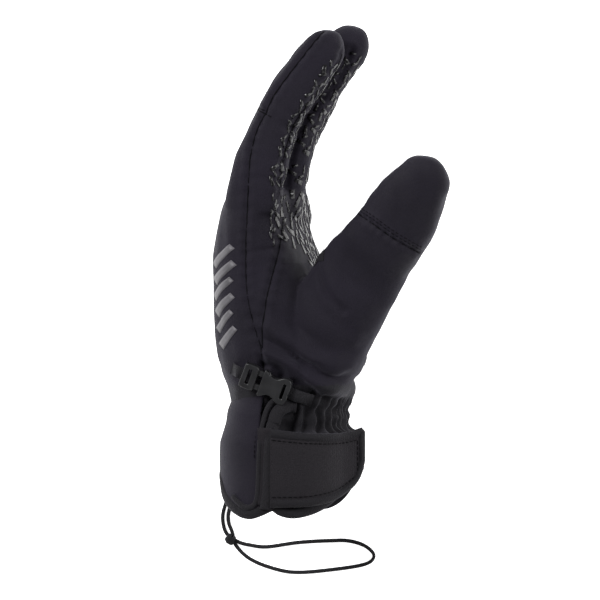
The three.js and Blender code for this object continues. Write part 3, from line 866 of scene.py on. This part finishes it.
def printed(surface, locate, along, round_at, slant, length, width, thick, taper=0.35):
    """A tapered bar on the skin, slanted across the glove. locate(along, degrees) gives a
    place inside, a direction out of it and, on a finger, how far to look."""
    columns = (-1, 1) if width < 2.4 else (-1, -0.35, 0.35, 1)
    rows = []
    for t in np.linspace(-0.5, 0.5, max(3, int(length / 1.8))):
        half = width / 2 * (1 - taper * (t + 0.5))
        row = []
        for side in columns:
            a = along + t * length * math.cos(slant) - side * half * math.sin(slant)
            sideways = t * length * math.sin(slant) + side * half * math.cos(slant)
            turn = round_at + math.degrees(sideways / PRINT_RADIUS)
            found = surface.towards(*locate(a, turn))
            if found is None:
                return None
            row.append(found)
        rows.append(row)
    return mark(rows, thick)


FINGER_REACH = 19.0  # a ray from a finger's middle ends before the next finger


def on_finger(name):
    def locate(along, degrees):
        place, heading = finger_place(name, along)
        a = math.radians(degrees)
        out = across(heading) * math.cos(a)
        out[2] += math.sin(a)
        return place, out / np.linalg.norm(out), FINGER_REACH
    return locate


def palm_height(degrees):
    return 60.0 + math.radians(degrees) * PRINT_RADIUS


def on_palm(along, degrees):
    """Across the palm: degrees count upwards from its middle."""
    height = palm_height(degrees)
    lean = smoothstep(78, 104, height)
    out = np.array([1 - 0.45 * lean, 0, 0.9 * lean])
    return np.array([-12.0, along, min(height, 92.0)]), out / np.linalg.norm(out)


def on_back(along, degrees):
    """Across the back of the hand, out to its upper edge."""
    a = math.radians(degrees)
    return np.array([-14.0, along, 84.0]), np.array([-math.cos(a), 0, math.sin(a)])


TURN = 0.618034  # the golden ratio's fraction, whose multiples spread evenly


def zigzag(count, seed):
    """Repeatable numbers from 0 to 1, well spread."""
    return [((k + 1) * TURN + seed * 0.37) % 1 for k in range(count)]


GRIP_THICK = 0.34
FINGER_ROW = 4.7  # from one row of bars to the next
PALM_ROW = 4.3
PALM_COLUMN = 26  # degrees
PALM_FIRST, PALM_LAST = 62, 158


def palm_print(surface):
    """A generic grip pattern of slanted bars on the fingers and the palm."""
    for name in FINGERS:
        last = FINGER_LENGTH[name] + 3
        spans = (("root", 0.6, 18.0), ("tip", 19.0, last))
        for part, first, end in spans:
            bars = []
            rows = int((end - first) / FINGER_ROW)
            top = 40 if name == "index" else 52
            columns = np.linspace(-48, top, 5)
            for r, jitter in zip(range(rows), zigzag(rows, len(name))):
                for c, degrees in enumerate(columns):
                    turn = (jitter * 7.3 + c * TURN) % 1
                    along = first + 2.8 + r * FINGER_ROW + math.sin(3.1 * c + jitter * 6)
                    slant = math.radians((58, -42, 12)[(r + 2 * c) % 3] + 44 * (turn - 0.5))
                    length = 3.8 + 3.0 * turn
                    if along - length / 2 < first or along + length / 2 > end:
                        continue
                    bars.append(printed(surface, on_finger(name), along, degrees + 7 * jitter,
                                        slant, length, 1.7 + 2.0 * jitter * turn,
                                        GRIP_THICK))
            piece = make_piece(f"{name}_{part}_grip", *join([b for b in bars if b]),
                               "silicone", "silicone")
            blend_like(piece, f"{name}_{part}")
    bars = []
    for r, jitter in zip(range(24), zigzag(24, 2)):
        for c in range(12):
            degrees = -150 + c * PALM_COLUMN + 10 * math.sin(r * 2.3)
            along = PALM_FIRST + r * PALM_ROW + 1.5 * math.sin(2.7 * c)
            if palm_height(degrees) > 70 and along < 128:  # the thumb's base is plain
                continue
            turn = (jitter * 5.7 + c * TURN) % 1
            slant = math.radians((55, -38, 8)[(r + 2 * c) % 3] + 44 * (turn - 0.5))
            bar = printed(surface, on_palm, along, degrees, slant, 3.6 + 3.6 * turn,
                          1.9 + 2.4 * jitter * turn, GRIP_THICK)
            if bar and along < PALM_LAST:
                bars.append(bar)
    make_piece("palm_grip", *join(bars), "silicone", "silicone", "hand")


def back_print(surface):
    """Grey slanted stripes of reflective film along the edge of the back of the hand."""
    slant = math.radians(48)
    bars = []
    for k, jitter in enumerate(zigzag(6, 5)):
        bars.append(printed(surface, on_back, 76 + k * 9.2, 32 + 6 * jitter, slant, 16,
                            4.2 + 1.2 * jitter, 0.22, taper=0.3))
    make_piece("back_slashes", *join([b for b in bars if b]), "reflective", "reflective",
               "hand")


# ------------------------------------------------------------------ stitching and painted seam shade
def stitch_row(path, normals, pitch=2.6, length=1.7, width=0.42):
    """Short raised threads along a path."""
    path, normals = np.asarray(path), np.asarray(normals)
    total = np.linalg.norm(np.diff(path, axis=0), axis=1).sum()
    count = max(2, int(total / pitch))
    fine = even(np.hstack([path, normals]), count * 3)
    parts = []
    for k in range(count):
        a, b = fine[k * 3], fine[min(k * 3 + 2, len(fine) - 1)]
        middle = (a + b) / 2
        step = b[:3] - a[:3]
        step *= length / max(np.linalg.norm(step), 1e-6)
        line = [middle[:3] + step * t for t in (-0.5, -0.3, 0.0, 0.3, 0.5)]
        lifts = (-0.12, 0.16, 0.24, 0.16, -0.12)
        n = middle[3:] / np.linalg.norm(middle[3:])
        line = [p + n * h for p, h in zip(line, lifts)]
        parts.append(sweep(line, [n] * 5, oval(width, width * 0.8, 6)))
    return join(parts)


TOP_SIDE = 82.0  # lower than this, a dropped line has missed the index finger


def on_skin(surface, line, offset=0.0, high=150.0, count=60):
    """A line in the XY plane, dropped onto the top of the skin."""
    flat = spline(line, count)
    direction = np.gradient(flat, axis=0)
    direction /= np.linalg.norm(direction, axis=1)[:, None]
    flat = flat + np.column_stack([direction[:, 1], -direction[:, 0]]) * offset
    places, normals = [], []
    for x, y in flat:
        found = surface.tree.ray_cast(Vector((x, y, high)), Vector((0, 0, -1)))
        if found[0] is not None and found[0].z > TOP_SIDE and found[1].z > 0.2:
            places.append(np.array(found[0]))
            normals.append(np.array(found[1]))
    return places, normals


def part_of_skin(place):
    """The skin piece that a place on the top of the hand or the index finger lies on."""
    root = joint_at("index_root_flex")
    if (place - root) @ forward(CROTCH_HEADING) < -0.8:
        return "hand" if place[1] > WRIST_END else "wrist"
    turn, heading = finger_place("index", ROOT_END)
    return "index_tip" if (place - turn) @ forward(heading) > 0 else "index_root"


def runs_of_skin(surface, line, offset=0.0):
    """A dropped line, cut where it passes from one skin piece to the next."""
    runs = []
    for place, normal in zip(*on_skin(surface, line, offset, count=150)):
        part = part_of_skin(place)
        if not runs or runs[-1][0] != part:
            runs.append((part, [], []))
        runs[-1][1].append(place)
        runs[-1][2].append(normal)
    return [run for run in runs if len(run[1]) > 5]


def seam_shade_line(places, normals, width=1.0):
    """A thin, continuous dark line sunk along a seam: painted shade of the seam's groove."""
    sunk = [p - n * 0.12 for p, n in zip(places, normals)]
    return sweep(sunk, normals, oval(width, 0.5, 6))


def skin_stitches(surface):
    """Painted shade lines in the seam grooves of the hand, the fingers and the thumb's cap,
    and two rows of stitches beside the cap's seam.
    """
    places, normals = on_skin(surface, CAP_SEAM)
    # A painted shade line in the cap's seam groove, then two rows of stitches.
    rows = [seam_shade_line(places, normals, 1.2)]
    rows += [stitch_row(*on_skin(surface, CAP_SEAM, offset)) for offset in (-2.2, -3.8)]
    piece = make_piece("cap_stitches_and_seam_shade", *join(rows), "thread", "binding")
    blend_thumb(piece)
    found = {}
    # Painted shade lines in the seam grooves, cut into runs by the skin piece they lie on.
    for line in (BACK_SEAM, PALM_SEAM, INDEX_CROSS):
        for part, places, normals in runs_of_skin(surface, line):
            found.setdefault(part, []).append(seam_shade_line(places, normals))
    for name in FINGERS:
        around = on_finger(name)
        spots = [surface.towards(*around(CROSS_SEAM, a)) for a in np.linspace(100, 245, 50)]
        spots = [spot for spot in spots if spot]
        line = seam_shade_line([p for p, _ in spots], [n for _, n in spots])
        found.setdefault(name + "_tip", []).append(line)
    for part, rows in found.items():
        body = "hand" if part == "hand" else None
        piece = make_piece(part + "_seam_threads", *join(rows), "thread", "binding", body)
        blend_like(piece, part + "_seam")


# ------------------------------------------------------------------ cuff
CUFF_X = -4.0
CUFF_HALF = 38.0
CUFF_HIGH = 105.0
EDGE_X = -11.0  # the strap's sewn edge, on the top of the cuff
HEM = [(-60, -1), (-44, -2), (-40, -6), (-35, -17), (-26, -24), (-18, -26), (-11, -24),
       (-4, -21.2), (1, -24), (8, -25.3), (17, -23.4), (24, -19.8), (28, -15.8), (31, -10.5),
       (34, -3), (60, 0)]


def cuff_taper(y):
    """How much the cuff narrows towards the wrist, back to palm and side to side."""
    wide = np.interp(y, [16, 27, 45, 60], [1.0, 0.93, 0.9, 0.93])
    tall = np.interp(y, [16, 27, 45, 60], [1.0, 0.94, 0.895, 0.93])
    return wide, tall


class Cuff:
    """The cuff's outline, as lengths round it from the strap's edge, over the palm side."""

    def __init__(self, count=1440):
        turn = -np.arange(count) * 2 * math.pi / count
        start = math.pi / 2
        while CUFF_X + CUFF_HALF * signed_power(math.cos(start), 2 / ROUND) > EDGE_X:
            start += 0.002
        turn = start + turn
        shape = np.where(np.sin(turn) < 0, 2 / FLAT, 2 / ROUND)
        x = CUFF_HALF * signed_power(np.cos(turn), shape)
        z = CUFF_HIGH / 2 * signed_power(np.sin(turn), shape)
        self.flat = np.column_stack([x, z])
        closed = np.vstack([self.flat, self.flat[:1]])
        self.along = np.concatenate([[0], np.cumsum(np.linalg.norm(np.diff(closed, axis=0),
                                                                   axis=1))])
        self.girth = self.along[-1]
        self.closed = closed

    def at(self, s, y, raised=0.0):
        """A place on the cuff and its outward normal."""
        s = s % self.girth
        step = 0.4
        spots = [np.array([np.interp((s + d) % self.girth, self.along, self.closed[:, k])
                           for k in (0, 1)]) for d in (0, -step, step)]
        wide, tall = cuff_taper(y)
        scale = np.array([wide, tall])
        tangent = (spots[2] - spots[1]) * scale
        tangent /= np.linalg.norm(tangent)
        out = np.array([-tangent[1], tangent[0]])
        flat = spots[0] * scale + out * raised
        place = np.array([CUFF_X + flat[0], y, CUFF_HIGH / 2 + 0.4 + flat[1]])
        return place, np.array([out[0], 0, out[1]])

    def top(self, x, y):
        """The length round the cuff at which its upper side has this x."""
        wide, _ = cuff_taper(y)
        upper = self.closed[:, 1] > 0
        s = np.where(self.along > self.girth / 2, self.along - self.girth, self.along)
        order = np.argsort(self.closed[upper, 0])
        return float(np.interp((x - CUFF_X) / wide, self.closed[upper, 0][order],
                               s[upper][order]))


def hem_height(place, line=spline(HEM, 200)):
    """The mouth's edge. It is cut higher towards the palm on the side that lies down."""
    x = place[0] + 0.16 * max(0.0, 53 - place[2]) * smoothstep(0, 20, place[0])
    return float(np.interp(x, line[:, 0], line[:, 1]))


def cuff_sheet(cuff, first, last, low, high, outer, inner, columns, rows, wave=None):
    """A closed layer of the cuff between two lengths round it. low and high give its lower
    and upper edge there."""
    points = []
    for layer in (outer, inner):
        for r in range(rows):
            for c in range(columns):
                s = first + (last - first) * c / (columns - 1)
                y = low(s) + (high(s) - low(s)) * r / (rows - 1)
                rim = min(r, rows - 1 - r, c, columns - 1 - c)
                middle = (outer + inner) / 2
                raised = middle + (layer - middle) * (0.55 if rim == 0 else 1.0)
                if wave is not None:
                    raised += wave(s, y)
                points.append(cuff.at(s, y, raised)[0])
    return points, sheet_faces(rows, columns)


def make_cuff(cuff):
    ripple = lambda s, y: 0.35 * math.sin(s / 9 + 0.08 * y) * math.cos(y / 13)
    hem = lambda s: hem_height(cuff.at(s, 0)[0]) + 2.0
    girth = cuff.girth
    points, faces = cuff_sheet(cuff, 0, girth, hem, lambda s: 21.0, -1.4, -2.8, 150, 26,
                               ripple)
    body = make_piece("cuff_body", points, faces, "stretch", "stretch_fabric", None,
                      ("cuff_palm_panel", "cuff_floor_strip"))
    blend_wrist(body)
    under = next(s for s in np.arange(girth / 2, girth, 0.5) if cuff.at(s, 0)[0][0] < -14)
    drape = lambda s, y: (0.3 * math.sin(s / 12 + y / 21) + 0.5 * math.sin(s / 17 - y / 9)
                          - 3.4 * float(smoothstep(32, 46, y)))
    points, faces = cuff_sheet(cuff, under, girth - 1.0, lambda s: hem(s) - 0.6,
                               lambda s: 46.0, 0.5, -1.1, 90, 40, drape)
    flap = make_piece("cuff_back_flap", points, faces, "softshell", "softshell", None,
                      ("cuff_back_panel",))
    blend_wrist(flap)
    make_piping(cuff)
    make_hem(cuff)
    make_lining(cuff)


def path_on_cuff(cuff, spots, count, raised):
    """A path over the cuff from (x, y) spots on its upper side."""
    line = spline(spots, count)
    found = [cuff.at(cuff.top(x, y), y, raised - 4.5 * float(smoothstep(-1, 8, x)))
             for x, y in line]
    return [p for p, _ in found], [n for _, n in found]


PIPING = [(5, 41.5), (-1, 41.5), (-5.8, 38.5), (-8.8, 32), (-10.6, 22), (-11.4, 8),
          (-12, -9), (-13.4, -17), (-17, -20), (-22, -19), (-28, -14)]
FLAP_EDGE = [(9, 37), (3.4, 37.2), (-1.6, 33.6), (-3.6, 27.4)]
STRAP_ROOT = [(-3.6, 27.4), (-4.4, 24), (-5.2, 8), (-5.8, -10), (-7.4, -21)]


ROOT_BAND = (7.4, 3.2)


def make_piping(cuff):
    """Two padded bands where the back flap meets the strap, with their stitching. The wide
    one goes on along the strap's sewn end."""
    bands = [sweep(*path_on_cuff(cuff, PIPING, 60, 0.7), oval(3.4, 2.6, 12)),
             sweep(*path_on_cuff(cuff, FLAP_EDGE, 20, 1.6), oval(*ROOT_BAND, 12))]
    piece = make_piece("flap_piping", *join(bands), "tape", "binding", None,
                       ("cuff_edge_binding",))
    blend_wrist(piece)
    rows = []
    for spots, offset in ((PIPING[1:6], -3.06), (FLAP_EDGE[1:3] + STRAP_ROOT[1:4], -3.24)):
        moved = [(x + offset, y) for x, y in spots]
        rows.append(stitch_row(*path_on_cuff(cuff, moved, 40, 0.6)))
    piece = make_piece("flap_stitches", *join(rows), "thread", "binding")
    blend_wrist(piece)


def make_hem(cuff):
    """The bound edge all round the mouth."""
    count = 190
    path, normals = [], []
    for k in range(count):
        s = cuff.girth * k / count
        place, normal = cuff.at(s, hem_height(cuff.at(s, 0)[0]) + 2.4, -0.5)
        place[2] = max(place[2], 2.3)
        path.append(place)
        normals.append(normal)
    points, faces = sweep(path, normals, oval(6.2, 3.6, 12), closed=True)
    make_piece("hem_tape", points, faces, "tape", "binding", "cuff", ("hem_binding",))


def make_lining(cuff):
    """Fleece inside the cuff and the hand, closed off at the knuckles."""
    rows, count = [], 90
    for y in np.linspace(-22, 62, 40):
        tuck = 5.4 + 5.4 * smoothstep(4, 24, y)
        ring = []
        for k in range(count):
            s = cuff.girth * k / count
            level = max(y, hem_height(cuff.at(s, 0)[0]) + 2.5)
            bulge = 0.8 * noise.noise(Vector((s / 14, level / 14, 3.1)))
            ring.append(cuff.at(s, level, -tuck + bulge)[0])
        rows.append(ring)
    points = np.concatenate(rows)
    faces = [f[::-1] for f in grid_faces(len(rows), count, closed=True)]
    piece = make_piece("cuff_lining", points, faces, "fleece", "fleece", None, ("cuff_liner",))
    blend_wrist(piece)
    rows = [(-4, 54, 0, 26, 14, 91), (-8, 66, 0, 27, 11, 94), (-12, 90, 3, 25, 8, 98),
            (-14.5, 118, 6, 21, 8, 98), (-15.6, 140, 10, 15, 12, 94),
            (-14, 152, 13, 5, 30, 76)]
    points, faces = loft(rows, 6, base=FLAT, count=72)
    faces = [f[::-1] for f in faces if len(f) == 4 or min(f) > 0]
    make_piece("hand_lining", points, faces, "fleece", "fleece", "hand", ("hand_liner",))


# ------------------------------------------------------------------ strap
STRAP_FROM = 6.5  # round the cuff, from the strap's sewn edge
FREE_FROM = 0.72  # the share of the strap after which it lifts off the cuff
LEVEL_ABOVE = 14.0  # the strap doesn't follow the cuff's taper further up than this
STRAP_LOW = spline([(0, -19.5), (0.35, -19), (0.65, -16), (0.85, -11), (0.95, -5),
                    (1.0, 6)], 80)
STRAP_HIGH = spline([(0, 24), (0.35, 22), (0.7, 21.5), (0.9, 22.8), (1.0, 24.8)], 80)


def strap_edge(line, share):
    return float(np.interp(share, line[:, 0], line[:, 1]))


class Strap:
    """The strap over the cuff. share runs from its sewn edge to its free end."""

    def __init__(self, cuff):
        self.cuff = cuff
        self.length = next(s for s in np.arange(40, 120, 0.5) if cuff.at(s, 0)[0][2] < 72)

    def along(self, share):
        return STRAP_FROM + (self.length - STRAP_FROM) * share

    def at(self, share, y, raised):
        lift = 1.4 + 6.8 * max(0.0, (share - FREE_FROM) / (1 - FREE_FROM)) ** 2
        place, normal = self.cuff.at(self.along(share), min(y, LEVEL_ABOVE), lift + raised)
        place[1] = y
        return place, normal

    def edges(self, share, inset=0.0):
        return (strap_edge(STRAP_LOW, share) + inset, strap_edge(STRAP_HIGH, share) - inset)


def make_strap(cuff):
    strap = Strap(cuff)
    columns, rows = 60, 26
    points = []
    for raised in (2.4, 0.2):
        for r in range(rows):
            for c in range(columns):
                share = 0.985 * c / (columns - 1)
                low, high = strap.edges(share, 1.4)
                y = low + (high - low) * r / (rows - 1)
                edge = min(r, rows - 1 - r, columns - 1 - c)
                crown = 0.5 * smoothstep(0, 7, edge) if raised > 1 else 0.0
                points.append(strap.at(share, y, raised + crown)[0])
    make_piece("strap_body", points, sheet_faces(rows, columns), "neoprene", "neoprene",
               "strap", ("strap_panel",))
    outline = [(share, strap.edges(share, 2.2)[0]) for share in np.linspace(0, 0.99, 50)]
    outline += [(0.99, y) for y in np.linspace(strap.edges(0.99, 2.2)[0] + 1,
                                               strap.edges(0.99, 2.2)[1] - 1, 16)]
    outline += [(share, strap.edges(share, 2.2)[1]) for share in np.linspace(0.99, 0, 50)]
    found = [strap.at(share, y, 1.5) for share, y in outline]
    path = even([np.concatenate([p, n]) for p, n in found], 150)
    points, faces = sweep(path[:, :3], path[:, 3:], oval(5.0, 3.5, 12))
    make_piece("strap_tape", points, faces, "tape", "binding", "strap", ("strap_binding",))
    inner = [(share, strap.edges(share, 5.6)[0]) for share in np.linspace(0.02, 0.93, 40)]
    inner += [(share, strap.edges(share, 5.6)[1]) for share in np.linspace(0.93, 0.02, 40)]
    found = [strap.at(share, y, 2.75) for share, y in inner]
    row = stitch_row([p for p, _ in found], [n for _, n in found], 3.0, 2.0, 0.5)
    make_piece("strap_stitches", *row, "thread", "binding", "strap")
    make_strap_root(cuff)
    make_patch(strap, "hook_tape", 0.58, 0.88, 0.05, "strap", "strap_hook_patch")
    make_patch(strap, "loop_tape", 0.46, 0.86, -0.9, "cuff", "cuff_loop_patch")


ROOT_FOLD = (-11.9, -4.0)  # from the flap's piping to under the strap


def make_strap_root(cuff):
    """The wide band along the strap's sewn end, and the fold of neoprene that it turns on."""
    band = sweep(*path_on_cuff(cuff, STRAP_ROOT, 44, 1.6), oval(*ROOT_BAND, 12))
    make_piece("strap_root_band", *band, "tape", "binding", "strap")
    columns, rows = 22, 30
    points = []
    for raised in (1.5, 0.4):
        for y in np.linspace(-18.5, 25.0, rows):
            for x in np.linspace(*ROOT_FOLD, columns):
                points.append(cuff.at(cuff.top(x, y), min(y, LEVEL_ABOVE), raised)[0])
                points[-1][1] = y
    fold = make_piece("strap_root_fold", points, sheet_faces(rows, columns), "neoprene",
                      "neoprene")
    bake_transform(fold)


PATCH_HALF = 0.35  # half a tape's thickness


def make_patch(strap, name, first, last, raised, body, node):
    """Hook tape under the strap, or the loop tape that it grips."""
    columns, rows = 24, 18
    points = []
    for level in (PATCH_HALF, -PATCH_HALF):
        for r in range(rows):
            for c in range(columns):
                share = first + (last - first) * c / (columns - 1)
                low, high = strap.edges(min(share, 0.8), 6.5)
                y = low + (high - low) * r / (rows - 1)
                if body == "cuff":
                    rough = 0.12 * noise.noise(Vector((c * 1.7, r * 1.9, raised + level)))
                    place, _ = strap.cuff.at(strap.along(share), y, PATCH_HALF + level + rough)
                else:
                    place, _ = strap.at(share, y, raised + level)
                points.append(place)
    make_piece(name, points, sheet_faces(rows, columns), "hook", "hook_and_loop", body,
               (node,))


# ------------------------------------------------------------------ leash
CORD = 2.5
LAY = CORD / 2 + 0.1
STRAND_OUT = [(-38.4, -18.4, 3.2), (-45, -17.8, LAY), (-51.4, -20.4, LAY), (-54.6, -28, LAY),
              (-54.8, -35, LAY), (-52.4, -41.4, LAY)]
STRAND_BACK = [(-38.4, -21.6, 3.2), (-44.4, -21, LAY), (-49, -22.8, LAY), (-51.4, -28.6, LAY),
               (-51.4, -34.6, LAY), (-49.3, -40.3, LAY)]
LOOP = [(-46, -45.8, LAY), (-38, -47.8, LAY), (-28, -48.6, LAY), (-9, -45.8, LAY),
        (11, -44.5, LAY), (21, -44.6, LAY), (30, -47.2, LAY), (35.6, -52.2, LAY),
        (33.4, -56.8, LAY), (24, -59.6, LAY), (4, -62.4, LAY), (-9, -63.4, LAY),
        (-19, -62.6, LAY), (-32, -58.9, LAY), (-41, -54.2, LAY), (-47.2, -47.6, LAY)]


KNOT_WRAPS = ((0.8, 1.0), (1.9, 0.8), (2.9, 0.9))  # which way each lies, and its flatness


def make_leash():
    route = STRAND_OUT + LOOP + STRAND_BACK[::-1]
    path = spline(route, 340)
    turn = np.linspace(0, 1, len(path))
    twist = 1.2 * np.exp(-((turn - 0.5) / 0.05) ** 2)
    normals = np.column_stack([np.sin(twist), 0 * turn, np.cos(twist)])
    points, faces = sweep(path, normals, oval(2.3, 1.9, 10))
    cord = make_piece("leash_cord", above(0.12, points), faces, "elastic", "elastic_cord",
                      "cuff",
                      ("leash_strand_out", "leash_strand_back", "leash_loop"))
    low, high = node_box("leash_knot")
    centre, radius = (low + high) / 2, (high - low).max() / 2
    wraps = []
    turns = np.linspace(0, 2 * math.pi, 40, endpoint=False)
    for k, (lean, squash) in enumerate(KNOT_WRAPS):
        axis = np.array([math.cos(lean), math.sin(lean), 0.25])
        axis /= np.linalg.norm(axis)
        u = np.cross(axis, [0, 0, 1])
        u /= np.linalg.norm(u)
        v = np.cross(axis, u)
        ring = [centre + axis * (k - 1) * 1.3
                + (u * math.cos(t) + v * math.sin(t) * squash) * (radius - 1.2) for t in turns]
        out = [u * math.cos(t) + v * math.sin(t) for t in turns]
        wraps.append(sweep(ring, out, oval(2.6, 2.0, 8), closed=True))
    points, faces = join(wraps)
    knot = make_piece("leash_knot_wraps", above(0.15, points), faces, "elastic",
                      "elastic_cord", "cuff", ("leash_knot",))
    low, high = node_box("leash_tab")
    middle = (low + high) / 2
    outline = [(low[0] - 0.2, 1.2), (low[0] + 4, 0.9), (high[0] - 2, 0.9), (high[0] + 2, 1.4),
               (high[0] + 2, 3.4), (high[0] - 2, 4.4), (low[0] + 4, 4.6), (low[0] - 0.2, 3.6)]
    ring = spline(outline + outline[:1], 60)[:-1]
    path = [(x, middle[1], z) for x, z in ring]
    points, faces = sweep(path, [(0, 1, 0)] * len(path), [(-0.5, -3.6), (0.5, -3.6), (0.6, 0),
                          (0.5, 3.6), (-0.5, 3.6), (-0.6, 0)], closed=True)
    make_piece("leash_tab_loop", above(0.3, points), faces, "webbing", "webbing", "cuff",
               ("leash_tab",))


# ------------------------------------------------------------------ wrist buckle
BUCKLE_TILT = math.radians(9)


def buckle_frame():
    """The buckle's own axes: along its slide, across it and out of the glove."""
    slide = np.array(JOINTS["buckle_release"]["axis"], float)
    along = -slide / np.linalg.norm(slide)
    side = np.cross(np.array([0, -math.sin(BUCKLE_TILT), math.cos(BUCKLE_TILT)]), along)
    side /= np.linalg.norm(side)
    return along, side, np.cross(along, side)


def outline_plate(name, outline, holes, thick, origin):
    """A moulded plate from an outline in the buckle's plane, with rounded edges."""
    along, side, up = buckle_frame()
    mesh = bpy.data.curves.new(name, "CURVE")
    mesh.dimensions = "2D"
    mesh.fill_mode = "BOTH"
    mesh.extrude = (thick / 2 - 0.5) * MM
    mesh.bevel_depth = 0.5 * MM
    mesh.bevel_resolution = 3
    for loop in [outline] + holes:
        loop = spline(list(loop) + [loop[0]], 16 * len(loop))[:-1]
        path = mesh.splines.new("POLY")
        path.points.add(len(loop) - 1)
        path.use_cyclic_u = True
        for point, (x, y) in zip(path.points, loop):
            point.co = (x * MM, y * MM, 0, 1)
    rough = bpy.data.objects.new(name, mesh)
    bpy.context.scene.collection.objects.link(rough)
    bpy.context.view_layer.update()
    solid = rough.evaluated_get(bpy.context.evaluated_depsgraph_get()).to_mesh()
    points = np.array([v.co for v in solid.vertices]) / MM
    faces = [tuple(p.vertices) for p in solid.polygons]
    bpy.data.objects.remove(rough)
    placed = origin + np.outer(points[:, 0], along) + np.outer(points[:, 1], side)
    placed += np.outer(points[:, 2], up)
    return placed, faces


def rounded(x0, x1, half, corner=1.2):
    """A rounded rectangle's points, dense at the corners."""
    points = []
    right, left, upper, lower = x1 - corner, x0 + corner, half - corner, corner - half
    for cx, cy, start in ((right, upper, 0), (left, upper, 90), (left, lower, 180),
                          (right, lower, 270)):
        for turn in (0, 30, 60, 90):
            a = math.radians(start + turn)
            points.append((cx + corner * math.cos(a), cy + corner * math.sin(a)))
    return points


SOCKET = [(-7.4, -6.6), (-6.6, -7), (-3, -4.9), (0.5, -5), (4, -7), (7, -7), (8.2, -5),
          (8.4, 0), (8.2, 5), (7, 7), (4, 7), (0.5, 5), (-3, 4.9), (-6.6, 7), (-7.4, 6.6),
          (-7.6, 0)]
PRONG = [(-2.5, 5.4), (3, 5.2), (4.6, 6.2), (6.4, 4.2), (4.6, 3.2), (-2.5, 3)]


def node_middle(name):
    low, high = node_box(name)
    return (low + high) / 2


def make_buckle():
    """The socket on the palm side, and the bar with two prongs that slides out of it."""
    socket = outline_plate("socket", SOCKET, [rounded(4.2, 6.8, 4.8, 0.8)], 5.2,
                           node_middle("buckle_female"))
    make_piece("buckle_socket", *socket, "plastic", "buckle_plastic", "hand",
               ("buckle_female",))
    slider = node_middle("buckle_male")
    parts = [outline_plate("slider", rounded(-9, -1.5, 6.6, 1.6),
                           [rounded(-7, -4.2, 4.8, 0.8)], 4.6, slider)]
    for sign in (-1, 1):
        prong = [(x, sign * y) for x, y in PRONG]
        parts.append(outline_plate("prong", prong, [], 2.6, slider))
    make_piece("buckle_prongs", *join(parts), "plastic", "buckle_plastic", "buckle_slider",
               ("buckle_male",))


def make_webbing():
    """Two webbing ends through the buckle's bars, lying on the glove."""
    along, _, up = buckle_frame()
    profile = [(-3.2, -0.6), (3.2, -0.6), (3.5, 0), (3.2, 0.6), (-3.2, 0.6), (-3.5, 0)]
    for name, node, body, sign, half in (
            ("webbing_back", "webbing_male_side", "buckle_slider", -1, 3.2),
            ("webbing_palm", "webbing_female_side", "hand", 1, 4.8)):
        middle = node_middle(node)
        reach = np.linspace(-half - 3, half + 1, 24) * sign
        path = [middle + along * r for r in reach]
        for place, r in zip(path, reach * sign):
            place[2] -= 8.0 * smoothstep(-half * 0.6, half + 1, r)
        make_piece(name, *sweep(path, [up] * len(path), profile), "webbing", "webbing", body,
                   (node,))


def make_crotch_patch(surface):
    """A small patch of tape, laid on the skin where the thumb parts from the hand."""
    centre = node_middle("thumb_crotch_patch")
    points, rows, columns = [], 10, 12
    for lift in (0.55, -0.4):
        for r in range(rows):
            for c in range(columns):
                x = centre[0] - 5.5 + 10.5 * c / (columns - 1)
                y = centre[1] - 3.2 + 6.4 * r / (rows - 1)
                found = surface.tree.ray_cast(Vector((x, y, 150)), Vector((0, 0, -1)))
                place, normal = surface.nearest(found[0] or (x, y, 95))
                points.append(place + normal * lift)
    faces = [f[::-1] for f in sheet_faces(rows, columns)]
    make_piece("crotch_patch", points, faces, "tape", "binding", "hand",
               ("thumb_crotch_patch",))


# ------------------------------------------------------------------ the whole glove
make_camera()
materials = make_materials()
make_leash()
make_room()
skin = shape_skin()
make_skin_pieces(skin)
surface = Surface(skin)
palm_print(surface)
back_print(surface)
skin_stitches(surface)
cuff = Cuff()
make_cuff(cuff)
make_strap(cuff)
make_buckle()
make_webbing()
make_crotch_patch(surface)
